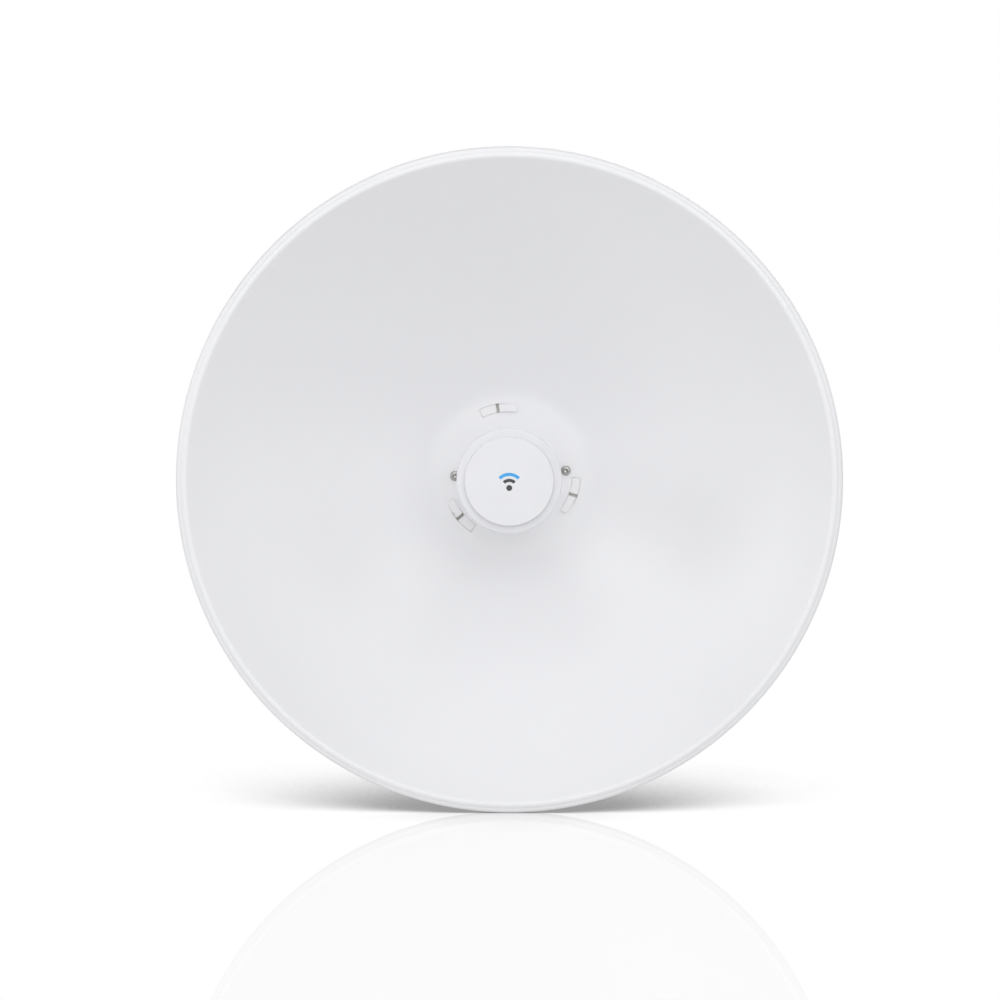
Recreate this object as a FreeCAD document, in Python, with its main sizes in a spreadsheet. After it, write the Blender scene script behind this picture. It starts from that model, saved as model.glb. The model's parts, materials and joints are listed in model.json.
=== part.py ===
"""Outdoor wireless bridge: a dish reflector with its radio in the feed, on a tilting pole mount.

Every sub-part is drawn in one boresight frame, in millimetres: X to the right as seen from the front,
Y up, and Z forward along the dish's axis. The pole's axis is the Y axis. Each sub-part's Placement
then stands that frame up, so that the finished part has +Z up and looks along -Y.
"""

import FreeCAD, Part
import Sketcher
import math
import os

DOCUMENT = FreeCAD.newDocument("WirelessBridge")
STANDING = FreeCAD.Placement(FreeCAD.Vector(), FreeCAD.Rotation(FreeCAD.Vector(1, 0, 0), 90))

# Driving dimensions: name, number (mm or degrees) and what it is.
SIZES = (
    ("flat_z", 132, "reflector's flat front face, from the pole's axis"),
    ("sheet", 1.0, "reflector's sheet thickness"),
    ("focal", 120, "paraboloid's focal length"),
    ("bowl_arcs", 8, "arcs that make up the paraboloid's section"),
    ("blend_bend", 40, "bend between the reflector's flat and its paraboloid"),
    ("blend_angle", 16.6, "paraboloid's slope where the blend meets it"),
    ("rim_start", 253, "radius where the paraboloid ends"),
    ("roll_bend", 4, "rolled rim's bend"),
    ("roll_angle", 45, "slope at which the roll runs down into its groove"),
    ("groove_bend", 1.0, "groove between the roll and the lip"),
    ("groove_angle", 5, "slope at the groove's outer end"),
    ("lip_bend", 3.45, "outer lip's bend"),
    ("skirt", 6, "depth of the rim's skirt"),
    ("dish_bore", 27, "radius of the reflector's middle hole"),
    ("slot_inner", 50.8, "twist-lock slot's inner radius"),
    ("slot_outer", 58.3, "twist-lock slot's outer radius"),
    ("slot_from", 116.4, "angle where the first slot begins"),
    ("gap_from", 102.3, "angle where the relief beside the hook begins"),
    ("hook_from", 99.5, "angle where the hook begins"),
    ("stem_to", 95, "angle where the hook's stem and the slot end"),
    ("hook_to", 84, "angle of the hook's tip"),
    ("hook_inner", 51.0, "hook's inner radius"),
    ("hook_outer", 56.7, "hook's outer radius"),
    ("hook_corner", 3.6, "round corner at the hook's tip"),
    ("hook_lift", 0.15, "clearance between the hook and the reflector"),
    ("hook_height", 2.0, "hook's thickness"),
    ("key_room", 0.4, "clearance round the key that fills the rest of a slot"),
    ("key_drop", 0.1, "how far a key sits below the reflector's face"),
    ("lock_count", 3, "hooks and slots"),
    ("plate", 3, "twist-lock plate's thickness"),
    ("plate_radius", 62.2, "twist-lock plate's radius"),
    ("plate_ring", 2.4, "thickness of the plate's edge ring"),
    ("plate_ring_depth", 6, "depth of the plate's edge ring"),
    ("collar_bore", 25.3, "feed collar's bore radius"),
    ("collar_wall", 3.7, "feed collar's wall"),
    ("collar_depth", 10, "feed collar's depth behind the plate"),
    ("dish_screw_circle", 45.5, "radius of the reflector's screw circle"),
    ("dish_screw_angle", 2.8, "angle of the first reflector screw"),
    ("dish_screw_bore", 2.0, "reflector screw's radius"),
    ("dish_screw_flange", 4.0, "reflector screw's flange radius"),
    ("dish_screw_flats", 6.0, "reflector screw's hexagon across flats"),
    ("dish_boss", 4.9, "radius of the boss behind a reflector screw"),
    ("dish_boss_depth", 12, "depth of that boss"),
    ("dish_insert", 3.0, "radius of the reflector screw's insert"),
    ("cover_back_z", 85, "rear cover's back face"),
    ("cover_flat", 50, "radius of the rear cover's flat back"),
    ("cover_bend", 12, "rear cover's edge bend"),
    ("cover_draft", 6.8, "rear cover's draft"),
    ("cover_wall", 2.5, "rear cover's wall"),
    ("button_bore", 6.1, "radius of the button's hole in the cover"),
    ("mount_screw_x", 36, "bracket screws' half spacing across"),
    ("mount_screw_y", 22, "bracket screws' half spacing up"),
    ("mount_screw", 2.5, "bracket screw's radius"),
    ("mount_screw_head", 4.6, "bracket screw's head radius"),
    ("mount_screw_head_height", 4.4, "bracket screw's head height"),
    ("mount_screw_length", 15, "bracket screw's length under its head"),
    ("mount_socket_flats", 4, "bracket screw's socket across flats"),
    ("mount_boss", 6.2, "radius of the boss that takes a bracket screw"),
    ("mount_insert", 3.7, "radius of the bracket screw's insert"),
    ("mount_insert_length", 9.5, "length of the bracket screw's insert"),
    ("door_half", 19.2, "half width of the cover's cable opening"),
    ("door_top", -34, "height of the cable opening's top edge"),
    ("door_front_z", 122, "front edge of the cable opening"),
    ("door_gap", 0.3, "clearance round the cable door"),
    ("notch_half", 7, "half width of the cable door's notch"),
    ("notch_z", 107, "middle of the notch's round end"),
    ("cable_bore", 4.5, "radius of the grommet's cable hole"),
    ("grommet_inside", -57.5, "height of the grommet's inner face"),
    ("grommet_lip", 1.9, "thickness of the grommet's inner lip"),
    ("grommet_overlap", 2, "how far that lip stands out"),
    ("grommet_height", 9, "grommet's height"),
    ("tube_rear_z", 90, "rear end of the feed tube"),
    ("tube_radius", 25, "feed tube's radius behind the reflector"),
    ("tube_inner", 21, "feed tube's inner radius behind the reflector"),
    ("tube_front_radius", 22, "feed tube's radius at the feed head"),
    ("tube_front_inner", 19.8, "feed tube's inner radius at the feed head"),
    ("tube_front_z", 240, "front end of the feed tube"),
    ("latch_z", 114.4, "rear face of the feed latch's ring"),
    ("latch_ring", 3.2, "thickness of the feed latch's ring"),
    ("latch_side", 0.6, "room for the ring in the tube's groove, each side"),
    ("latch_hole", 25.5, "radius of the hole in the latch's ring"),
    ("latch_outer", 33, "outer radius of the latch's ring"),
    ("latch_raised", 2, "how far the latch's ring sits above the tube's axis"),
    ("latch_groove", 23, "radius at the bottom of the tube's groove"),
    ("latch_button", 5.6, "release button's radius"),
    ("latch_button_top", 68.5, "height of the release button's top"),
    ("spring_ledge", -42, "height of the ledge under the latch's spring"),
    ("base_flange", 31.5, "radius of the tube's flange on the reflector"),
    ("seal_circle", 29, "radius of the feed seal's middle line"),
    ("seal_section", 1.1, "feed seal's section radius"),
    ("head_radius", 40.6, "feed head's shell radius"),
    ("head_wall", 2, "feed head's wall"),
    ("cap_radius", 41.6, "front cap's flange radius"),
    ("cap_back_z", 251.6, "front cap's flange, back face"),
    ("cap_flange_z", 256, "front cap's flange, front face"),
    ("cap_front_z", 262, "front cap's raised face"),
    ("cap_disc", 35, "radius of the front cap's raised disc"),
    ("board_x", -7.5, "main board's component face"),
    ("board", 1.6, "main board's thickness"),
    ("board_half", 17, "main board's half width"),
    ("bracket_sheet", 3, "steel brackets' thickness"),
    ("pole_radius", 25, "radius of the pole that the closed jaws hold"),
    ("jaw_angle", 26, "angle of the jaw's round, above the line between the jaws"),
    ("tooth_pitch", 4.6, "jaw's tooth pitch"),
    ("tooth_depth", 1.7, "jaw's tooth depth"),
    ("jaw_half", 36.5, "half width of a jaw"),
    ("web_z", 34, "brackets' webs, from the pole's axis"),
    ("web_half", 58, "half width of the pole bracket"),
    ("bracket_half", 26, "half height of the pole bracket"),
    ("clamp_half", 21, "half height of the pole clamp"),
    ("clamp_width", 57, "half width of the pole clamp"),
    ("bolt_x", 46, "carriage bolts' half spacing"),
    ("bolt", 4, "M8 shank radius"),
    ("bolt_end_z", -80, "carriage bolts' ends"),
    ("bolt_head", 8.5, "carriage bolt's head radius"),
    ("bolt_head_height", 4.4, "carriage bolt's head height"),
    ("neck", 8, "carriage bolt's square neck"),
    ("nut_flange", 8.7, "M8 nut's flange radius"),
    ("nut_flats", 13, "M8 nut across flats"),
    ("nut_height", 8, "M8 nut's height"),
    ("washer", 1.6, "M8 washer's thickness"),
    ("washer_radius", 8.8, "M8 washer's radius"),
    ("pivot_y", -12, "height of the elevation pivot"),
    ("pivot_z", 60, "elevation pivot, from the pole's axis"),
    ("tilt_slot", 24, "radius of the elevation slot about the pivot"),
    ("tilt_reach", 20.6, "half angle of the elevation slot"),
    ("tilt_slot_half", 3.4, "half width of the elevation slot"),
    ("ear_margin", 5, "metal outside the elevation slot"),
    ("ear_angle", 28, "half angle of the ear's round top"),
    ("pivot_round", 12, "radius of the ears round the pivot"),
    ("lock_round", 9, "radius of the tilt bracket's ear round its lock bolt"),
    ("tilt_half", 54.5, "half width of the tilt bracket"),
    ("tilt_height", 33, "half height of the tilt bracket"),
    ("lock_bolt", 3, "M6 shank radius"),
    ("lock_flange", 6.6, "M6 flange radius"),
    ("lock_flats", 10, "M6 hexagon across flats"),
)


class Dim:
    """A size that knows its number and the expression that FreeCAD keeps for it."""

    def __init__(self, number, text):
        self.number = float(number)
        self.text = text

    def __add__(self, other):
        other = dim(other)
        return Dim(self.number + other.number, f"({self.text} + {other.text})")

    def __sub__(self, other):
        other = dim(other)
        return Dim(self.number - other.number, f"({self.text} - {other.text})")

    def __mul__(self, other):
        other = dim(other)
        return Dim(self.number * other.number, f"({self.text} * {other.text})")

    def __truediv__(self, other):
        other = dim(other)
        return Dim(self.number / other.number, f"({self.text} / {other.text})")

    def __neg__(self):
        return Dim(-self.number, f"(0 - {self.text})")

    def __radd__(self, other):
        return dim(other) + self

    def __rsub__(self, other):
        return dim(other) - self

    def __rmul__(self, other):
        return dim(other) * self


def dim(value):
    return value if isinstance(value, Dim) else Dim(value, f"({float(value)!r})")


def sine(angle):
    angle = dim(angle)
    return Dim(math.sin(math.radians(angle.number)), f"sin({angle.text})")


def cosine(angle):
    angle = dim(angle)
    return Dim(math.cos(math.radians(angle.number)), f"cos({angle.text})")


def tangent(angle):
    return Dim(math.tan(math.radians(angle.number)), f"tan({angle.text})")


def root(value):
    return Dim(math.sqrt(value.number), f"sqrt({value.text})")


def polar(radius, angle, x=0, y=0):
    """The point at a radius and an angle from (x, y)."""
    return x + radius * cosine(angle), y + radius * sine(angle)


class SizeSheet:
    """The spreadsheet of driving dimensions, read as Dims: S.sheet is the cell named sheet."""

    def __init__(self, rows):
        self.cells = DOCUMENT.addObject("Spreadsheet::Sheet", "Sizes")
        self.numbers = {}
        for row, (alias, number, meaning) in enumerate(rows, start=1):
            self.cells.set(f"A{row}", meaning)
            self.cells.set(f"B{row}", str(number))
            self.cells.setAlias(f"B{row}", alias)
            self.numbers[alias] = number
        DOCUMENT.recompute()

    def __getattr__(self, alias):
        return Dim(self.numbers[alias], f"Sizes.{alias}")


S = SizeSheet(SIZES)


def bind(item, path, value):
    item.setExpression(path, dim(value).text)


class Bend:
    """An arc of a radius between two points. Turn 1 keeps its centre left of travel, and -1 right of it."""

    def __init__(self, radius, turn):
        self.radius = dim(radius)
        self.turn = turn


def vector(point):
    return FreeCAD.Vector(point[0].number, point[1].number, 0)


def arc_through(start, end, bend):
    """The arc of a bend between two vectors, as FreeCAD holds it: anticlockwise."""
    radius = bend.radius.number
    chord = end - start
    reach = math.sqrt(max(radius**2 - (chord.Length / 2) ** 2, 0))
    left = FreeCAD.Vector(-chord.y, chord.x, 0).normalize()
    centre = start + chord / 2 + left * reach * bend.turn
    first, last = (start, end) if bend.turn > 0 else (end, start)
    angles = [math.atan2(p.y - centre.y, p.x - centre.x) for p in (first, last)]
    return Part.ArcOfCircle(Part.Circle(centre, FreeCAD.Vector(0, 0, 1), radius), *angles)


class Sketch:
    """A sketch on an origin plane of its body: front is X and Y, top is X and Z, side is Y and Z.

    Each point is held by its two coordinates and each arc by its radius too, all bound to the sheet.
    """

    PLANES = {"front": "XY_Plane", "top": "XZ_Plane", "side": "YZ_Plane"}

    def __init__(self, body, name, view="front", offset=0):
        self.body = body
        self.view = view
        self.item = body.newObject("Sketcher::SketchObject", name)
        plane = next(f for f in body.Origin.OriginFeatures if f.Role == self.PLANES[view])
        self.item.AttachmentSupport = [(plane, "")]
        self.item.MapMode = "FlatFace"
        # The top plane's own normal points down.
        offset = -dim(offset) if view == "top" else dim(offset)
        bind(self.item, "AttachmentOffset.Base.z", offset)

    def hold(self, kind, geometry, *where, value):
        """A constraint with a datum, bound to its expression."""
        number = self.item.addConstraint(Sketcher.Constraint(kind, geometry, *where, value.number))
        bind(self.item, f"Constraints[{number}]", value)

    def hold_point(self, geometry, position, x, y):
        """Fixes a point by its two coordinates."""
        for kind, value, axis in (("DistanceX", x, -2), ("DistanceY", y, -1)):
            value = dim(value)
            if abs(value.number) < 1e-9:
                self.item.addConstraint(Sketcher.Constraint("PointOnObject", geometry, position, axis))
            else:
                self.hold(kind, geometry, position, value=value)

    def add_edge(self, start, end, shape):
        """Draws one edge. Returns its number and the FreeCAD positions of its two ends."""
        first, last = vector(start), vector(end)
        if shape is None:
            return self.item.addGeometry(Part.LineSegment(first, last)), 1, 2
        number = self.item.addGeometry(arc_through(first, last, shape))
        self.hold("Radius", number, value=shape.radius)
        return (number, 1, 2) if shape.turn > 0 else (number, 2, 1)

    def outline(self, *items):
        """Draws a closed loop of points. A Bend between two points makes the edge between them an arc."""
        points, shapes = [], []
        for item in items:
            if isinstance(item, Bend):
                shapes[-1] = item
            else:
                points.append(tuple(dim(c) for c in item))
                shapes.append(None)
        count = len(points)
        edges = [self.add_edge(points[i], points[(i + 1) % count], shapes[i]) for i in range(count)]
        for i, (x, y) in enumerate(points):
            edge, before = edges[i], edges[i - 1]
            self.item.addConstraint(
                Sketcher.Constraint("Coincident", before[0], before[2], edge[0], edge[1])
            )
            self.hold_point(edge[0], edge[1], x, y)
        return self

    def circle(self, x, y, radius):
        x, y, radius = dim(x), dim(y), dim(radius)
        ring = Part.Circle(vector((x, y)), FreeCAD.Vector(0, 0, 1), radius.number)
        number = self.item.addGeometry(ring)
        self.hold_point(number, 3, x, y)
        self.hold("Radius", number, value=radius)
        return self

    def box(self, left, bottom, right, top):
        return self.outline((left, bottom), (right, bottom), (right, top), (left, top))

    def rounded_box(self, left, bottom, right, top, bend):
        corner = Bend(bend, 1)
        return self.outline(
            (left + bend, bottom), (right - bend, bottom), corner,
            (right, bottom + bend), (right, top - bend), corner,
            (right - bend, top), (left + bend, top), corner,
            (left, top - bend), (left, bottom + bend), corner,
        )

    def hexagon(self, x, y, flats):
        corner = dim(flats) / root(dim(3))
        return self.outline(*(polar(corner, 60 * k, x, y) for k in range(6)))

    def sector(self, inner, outer, start, end, x=0, y=0):
        """A piece of ring between two angles, start being the larger."""
        return self.outline(
            polar(outer, start, x, y), Bend(outer, -1), polar(outer, end, x, y),
            polar(inner, end, x, y), Bend(inner, 1), polar(inner, start, x, y),
        )


def new_body(label):
    body = DOCUMENT.addObject("PartDesign::Body", label)
    body.Label = label
    body.Placement = STANDING
    return body


def feature(sketch, kind, name):
    item = sketch.body.newObject(f"PartDesign::{kind}", f"{sketch.item.Name}_{name}")
    item.Profile = sketch.item
    sketch.item.Visibility = False
    return item


def pad(sketch, length, toward=1, middle=False):
    """Raises a sketch by a length along its axis, or against it where toward is -1."""
    item = feature(sketch, "Pad", "pad")
    bind(item, "Length", length)
    item.Midplane = middle
    item.Reversed = (toward < 0) != (sketch.view == "top")
    DOCUMENT.recompute()
    return item


def pocket(sketch, length, toward=1, middle=False):
    """Cuts a sketch by a length along its axis. Stops if that cuts nothing."""
    before = sketch.body.Tip.Shape.Volume
    item = feature(sketch, "Pocket", "cut")
    bind(item, "Length", length)
    item.Midplane = middle
    item.Reversed = (toward > 0) != (sketch.view == "top")
    DOCUMENT.recompute()
    if item.Shape.Volume > before - 1e-3:
        raise RuntimeError(f"{item.Name} cuts nothing")
    return item


def turn(sketch):
    """Revolves a top sketch about the boresight axis."""
    item = feature(sketch, "Revolution", "turn")
    item.ReferenceAxis = (sketch.item, ["V_Axis"])
    item.Angle = 360
    DOCUMENT.recompute()
    return item


def origin_feature(body, role):
    return next(f for f in body.Origin.OriginFeatures if f.Role == role)


def around(body, originals, count):
    """Repeats features round the boresight axis."""
    item = body.newObject("PartDesign::PolarPattern", f"{originals[0].Name}_around")
    item.Originals = originals
    item.Axis = (origin_feature(body, "Z_Axis"), [""])
    item.Angle = 360
    bind(item, "Occurrences", count)
    body.Tip = item
    DOCUMENT.recompute()
    return item


def along(body, originals, axis, length, count):
    """Repeats features in a row along a body axis."""
    item = body.newObject("PartDesign::LinearPattern", f"{originals[0].Name}_row")
    item.Originals = originals
    item.Direction = (origin_feature(body, axis), [""])
    bind(item, "Length", length)
    item.Occurrences = count
    body.Tip = item
    DOCUMENT.recompute()
    return item


def mirror(body, originals, plane="YZ_Plane"):
    """Repeats features on the other side of an origin plane."""
    item = body.newObject("PartDesign::Mirrored", f"{originals[0].Name}_mirror")
    item.Originals = originals
    item.MirrorPlane = (origin_feature(body, plane), [""])
    body.Tip = item
    DOCUMENT.recompute()
    return item


def fillet(body, radius, chosen):
    """Rounds the edges of a body that a test chooses."""
    base = body.Tip
    names = [f"Edge{n}" for n, edge in enumerate(base.Shape.Edges, start=1) if chosen(edge)]
    item = body.newObject("PartDesign::Fillet", f"{base.Name}_rounded")
    item.Base = (base, names)
    bind(item, "Radius", radius)
    body.Tip = item
    DOCUMENT.recompute()
    return item


def near(value, size):
    return abs(value - dim(size).number) < 0.01


# ---- reflector ----

BLEND_START = 2 * S.focal * tangent(S.blend_angle)
FLAT_RADIUS = BLEND_START - S.blend_bend * sine(S.blend_angle)
BLEND_Z = S.flat_z + S.blend_bend - S.blend_bend * cosine(S.blend_angle)
VERTEX_Z = BLEND_Z - BLEND_START * BLEND_START / (4 * S.focal)


def bowl_point(x, depth):
    """A point of the paraboloid, at a depth behind its front surface."""
    length = root(x * x + 4 * S.focal * S.focal)
    return x + depth * x / length, VERTEX_Z + x * x / (4 * S.focal) - depth * 2 * S.focal / length


def bowl(depth):
    """The paraboloid's section, as arcs of its own curvature between points on it."""
    step = (S.rim_start - BLEND_START) / S.bowl_arcs
    path = []
    for k in range(int(S.bowl_arcs.number)):
        middle = (BLEND_START + step * (k + 0.5)) / (2 * S.focal)
        stretch = 1 + middle * middle
        curve = 2 * S.focal * root(stretch * stretch * stretch)
        path += [bowl_point(BLEND_START + step * k, depth), Bend(curve + depth, 1)]
    return path


def rim(depth):
    """The rolled rim's points and bends, at a depth behind its front surface, from the bowl outwards."""
    length = root(S.rim_start * S.rim_start + 4 * S.focal * S.focal)
    rise, run = S.rim_start / length, 2 * S.focal / length
    start_z = VERTEX_Z + S.rim_start * S.rim_start / (4 * S.focal)
    roll_x, roll_z = S.rim_start + S.roll_bend * rise, start_z - S.roll_bend * run
    out, up = sine(S.roll_angle), cosine(S.roll_angle)
    groove_x = roll_x + (S.roll_bend + S.groove_bend) * out
    groove_z = roll_z + (S.roll_bend + S.groove_bend) * up
    lean, level = sine(S.groove_angle), cosine(S.groove_angle)
    lip_x = groove_x - (S.groove_bend + S.lip_bend) * lean
    lip_z = groove_z - (S.groove_bend + S.lip_bend) * level
    roll, groove, lip = S.roll_bend - depth, S.groove_bend + depth, S.lip_bend - depth
    return [
        (S.rim_start + depth * rise, start_z - depth * run),
        Bend(roll, -1),
        (roll_x + roll * out, roll_z + roll * up),
        Bend(groove, 1),
        (groove_x - groove * lean, groove_z - groove * level),
        Bend(lip, -1),
        (lip_x + lip, lip_z),
        (lip_x + lip, lip_z - S.skirt),
    ]


def reversed_path(path):
    """The same edges walked the other way."""
    return [Bend(p.radius, -p.turn) if isinstance(p, Bend) else p for p in reversed(path)]


def dish_reflector():
    body = new_body("dish_reflector")

    def section(depth):
        level = S.flat_z - depth
        return [
            (S.dish_bore, level), (FLAT_RADIUS, level), Bend(S.blend_bend + depth, 1),
            *bowl(depth), *rim(depth),
        ]

    front, back = section(dim(0)), section(S.sheet)
    turn(Sketch(body, "dish_profile", "top").outline(*front, *reversed_path(back)))
    slot = Sketch(body, "dish_slot", "front", S.flat_z)
    end_room, hole_room = 0.4, 0.2
    slot.sector(S.slot_inner, S.slot_outer, S.slot_from, S.stem_to - end_room)
    cut = pocket(slot, 2 * S.sheet, middle=True)
    around(body, [cut], S.lock_count)
    hole = Sketch(body, "dish_screw_hole", "front", S.flat_z)
    hole.circle(*polar(S.dish_screw_circle, S.dish_screw_angle), S.dish_screw_bore + hole_room)
    cut = pocket(hole, 2 * S.sheet, middle=True)
    around(body, [cut], 2)


# ---- twist-lock plate and rear cover ----


def mount_screw_circles(sketch, radius):
    """A circle at each of the four bracket screws."""
    for x in (S.mount_screw_x, -S.mount_screw_x):
        for y in (S.mount_screw_y, -S.mount_screw_y):
            sketch.circle(x, y, radius)
    return sketch


PLATE_FRONT_Z = S.flat_z - S.sheet
PLATE_BACK_Z = PLATE_FRONT_Z - S.plate
COVER_FLOOR_Z = S.cover_back_z + S.cover_wall
BOSS_TOP_Z = COVER_FLOOR_Z
MOUNT_SCREW_ROOM = 0.25
RAIL_BACK = 3.6
LEDGE_BACK = 2.4


def twist_lock_plate():
    body = new_body("twist_lock_plate")
    ring_inner = S.plate_radius - S.plate_ring
    collar_outer = S.collar_bore + S.collar_wall
    collar_z = PLATE_BACK_Z - S.collar_depth
    turn(Sketch(body, "plate_profile", "top").outline(
        (S.collar_bore, collar_z), (collar_outer, collar_z), (collar_outer, PLATE_BACK_Z),
        (ring_inner, PLATE_BACK_Z), (ring_inner, PLATE_BACK_Z - S.plate_ring_depth),
        (S.plate_radius, PLATE_BACK_Z - S.plate_ring_depth), (S.plate_radius, PLATE_FRONT_Z),
        (S.collar_bore, PLATE_FRONT_Z),
    ))
    boss = mount_screw_circles(Sketch(body, "mount_boss", "front", PLATE_BACK_Z), S.mount_boss)
    pad(boss, PLATE_BACK_Z - BOSS_TOP_Z, toward=-1)
    bore = mount_screw_circles(Sketch(body, "mount_boss_bore", "front", BOSS_TOP_Z), S.mount_insert)
    pocket(bore, S.mount_screw_length)
    boss = Sketch(body, "dish_boss", "front", PLATE_BACK_Z)
    boss.circle(*polar(S.dish_screw_circle, S.dish_screw_angle), S.dish_boss)
    raised = pad(boss, S.dish_boss_depth, toward=-1)
    around(body, [raised], 2)
    bore = Sketch(body, "dish_boss_bore", "front", PLATE_FRONT_Z)
    bore.circle(*polar(S.dish_screw_circle, S.dish_screw_angle), S.dish_insert)
    cut = pocket(bore, S.dish_boss_depth + S.plate, toward=-1)
    around(body, [cut], 2)
    latch_rails(body)
    spring_ledge(body)
    hooks(body)


def latch_rails(body):
    """Two channels behind the plate that guide the feed latch's ring."""
    inside, thick, lip = S.latch_outer + 0.4, 3.2, 3.4
    rail_half, lip_thick = 12, 3.2
    rear_z = S.latch_z - RAIL_BACK
    for side in (1, -1):
        wall = Sketch(body, f"rail_wall_{'left' if side < 0 else 'right'}", "front", rear_z)
        near_x, far_x = side * inside, side * (inside + thick)
        left, right = (near_x, far_x) if side > 0 else (far_x, near_x)
        wall.box(left, -rail_half, right, rail_half)
        pad(wall, PLATE_BACK_Z - rear_z)
        hook = Sketch(body, f"rail_lip_{'left' if side < 0 else 'right'}", "front", rear_z)
        tip = side * (inside - lip)
        left, right = (tip, near_x) if side > 0 else (near_x, tip)
        hook.box(left, -rail_half, right, rail_half)
        pad(hook, lip_thick)


def spring_ledge(body):
    """The ledge behind the plate that the latch's spring pushes against."""
    half, thick = 6, 3
    ledge = Sketch(body, "spring_ledge", "front", S.latch_z - LEDGE_BACK)
    ledge.box(-half, S.spring_ledge - thick, half, S.spring_ledge)
    pad(ledge, PLATE_BACK_Z - S.latch_z + LEDGE_BACK)


def hooks(body):
    """The hooks that hold the reflector's face through its slots, and the keys that fill the slots."""
    top_z = S.flat_z + S.hook_lift + S.hook_height
    relief = Sketch(body, "hook_relief", "front", PLATE_FRONT_Z)
    relief.sector(S.slot_inner, S.slot_outer, S.gap_from, S.hook_from)
    undercut = Sketch(body, "hook_undercut", "front", PLATE_FRONT_Z)
    undercut.sector(S.hook_inner, S.hook_outer, S.stem_to, S.hook_to)
    cuts = [pocket(s, S.plate, toward=-1) for s in (relief, undercut)]
    around(body, cuts, S.lock_count)
    stem = Sketch(body, "hook_stem", "front", PLATE_BACK_Z)
    stem.sector(S.hook_inner, S.hook_outer, S.hook_from, S.stem_to)
    stem_pad = pad(stem, top_z - PLATE_BACK_Z)
    tongue = Sketch(body, "hook_tongue", "front", S.flat_z + S.hook_lift)
    corner_angle = S.hook_to + 180 / math.pi * S.hook_corner / S.hook_outer
    tongue.outline(
        polar(S.hook_outer, S.hook_from), Bend(S.hook_outer, -1), polar(S.hook_outer, corner_angle),
        Bend(S.hook_corner, -1), polar(S.hook_outer - S.hook_corner, S.hook_to),
        polar(S.hook_inner, S.hook_to), Bend(S.hook_inner, 1), polar(S.hook_inner, S.hook_from),
    )
    tongue_pad = pad(tongue, S.hook_height)
    key = Sketch(body, "slot_key", "front", PLATE_FRONT_Z)
    key.sector(
        S.slot_inner + S.key_room, S.slot_outer - S.key_room,
        S.slot_from - 180 / math.pi * S.key_room / S.slot_outer, S.gap_from,
    )
    key_pad = pad(key, S.sheet - S.key_drop)
    around(body, [stem_pad, tongue_pad, key_pad], S.lock_count)


def cover_profile(sketch):
    """The rear cover's section, from the axis outwards and back inside."""
    centre_z = S.cover_back_z + S.cover_bend
    along_wall, across_wall = cosine(S.cover_draft), sine(S.cover_draft)

    def wall(bend):
        return S.cover_flat + bend * along_wall, centre_z - bend * across_wall

    def front(point):
        return point[0] + (PLATE_FRONT_Z - point[1]) * tangent(S.cover_draft), PLATE_FRONT_Z

    inner_bend = S.cover_bend - S.cover_wall
    outside, inside = wall(S.cover_bend), wall(inner_bend)
    return sketch.outline(
        (0, S.cover_back_z), (S.cover_flat, S.cover_back_z), Bend(S.cover_bend, 1), outside,
        front(outside), front(inside), inside, Bend(inner_bend, -1),
        (S.cover_flat, COVER_FLOOR_Z), (0, COVER_FLOOR_Z),
    )


def rear_cover():
    body = new_body("rear_cover")
    turn(cover_profile(Sketch(body, "cover_profile", "top")))
    holes = Sketch(body, "cover_screw_holes", "front", S.cover_back_z)
    pocket(mount_screw_circles(holes, S.mount_screw + MOUNT_SCREW_ROOM), S.cover_wall)
    start, reach = 40, 40
    button = Sketch(body, "cover_button_hole", "top", start)
    button.circle(0, S.latch_z + S.latch_ring / 2, S.button_bore)
    pocket(button, reach)
    opening = Sketch(body, "cover_cable_opening", "top", S.door_top)
    opening.box(-S.door_half, S.cover_back_z - 1, S.door_half, S.door_front_z)
    pocket(opening, reach, toward=-1)


def cable_door():
    """The cover's own section, kept only inside the cable opening, with a notch and finger ridges."""
    body = new_body("cable_door")
    turn(cover_profile(Sketch(body, "door_profile", "top")))
    far, past = 90, 5
    half = S.door_half - S.door_gap
    above = Sketch(body, "door_above", "top", S.door_top - S.door_gap)
    above.box(-far, S.cover_back_z - past, far, S.flat_z + past)
    pocket(above, 2 * far)
    trim = Sketch(body, "door_trim", "top", -far)
    trim.box(-far, S.cover_back_z - past, far, S.flat_z + past)
    trim.box(-half, S.cover_back_z - past / 2, half, S.door_front_z - S.door_gap)
    pocket(trim, 2 * far)
    notch = Sketch(body, "door_notch", "top", -far)
    round_end = Bend(S.notch_half, 1)
    notch.outline(
        (-S.notch_half, S.door_front_z + 1), (-S.notch_half, S.notch_z), round_end,
        (0, S.notch_z - S.notch_half), round_end, (S.notch_half, S.notch_z),
        (S.notch_half, S.door_front_z + 1),
    )
    pocket(notch, far + S.grommet_inside)
    ridge_half, ridge_thick, ridge_high, ridge_y, span, count = 11, 1.4, 0.8, S.door_top - 14.4, 7, 3
    ridge = Sketch(body, "door_ridge", "front", S.cover_back_z)
    ridge.box(-ridge_half, ridge_y, ridge_half, ridge_y + ridge_thick)
    raised = pad(ridge, ridge_high, toward=-1)
    along(body, [raised], "Y_Axis", span, count)


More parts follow.
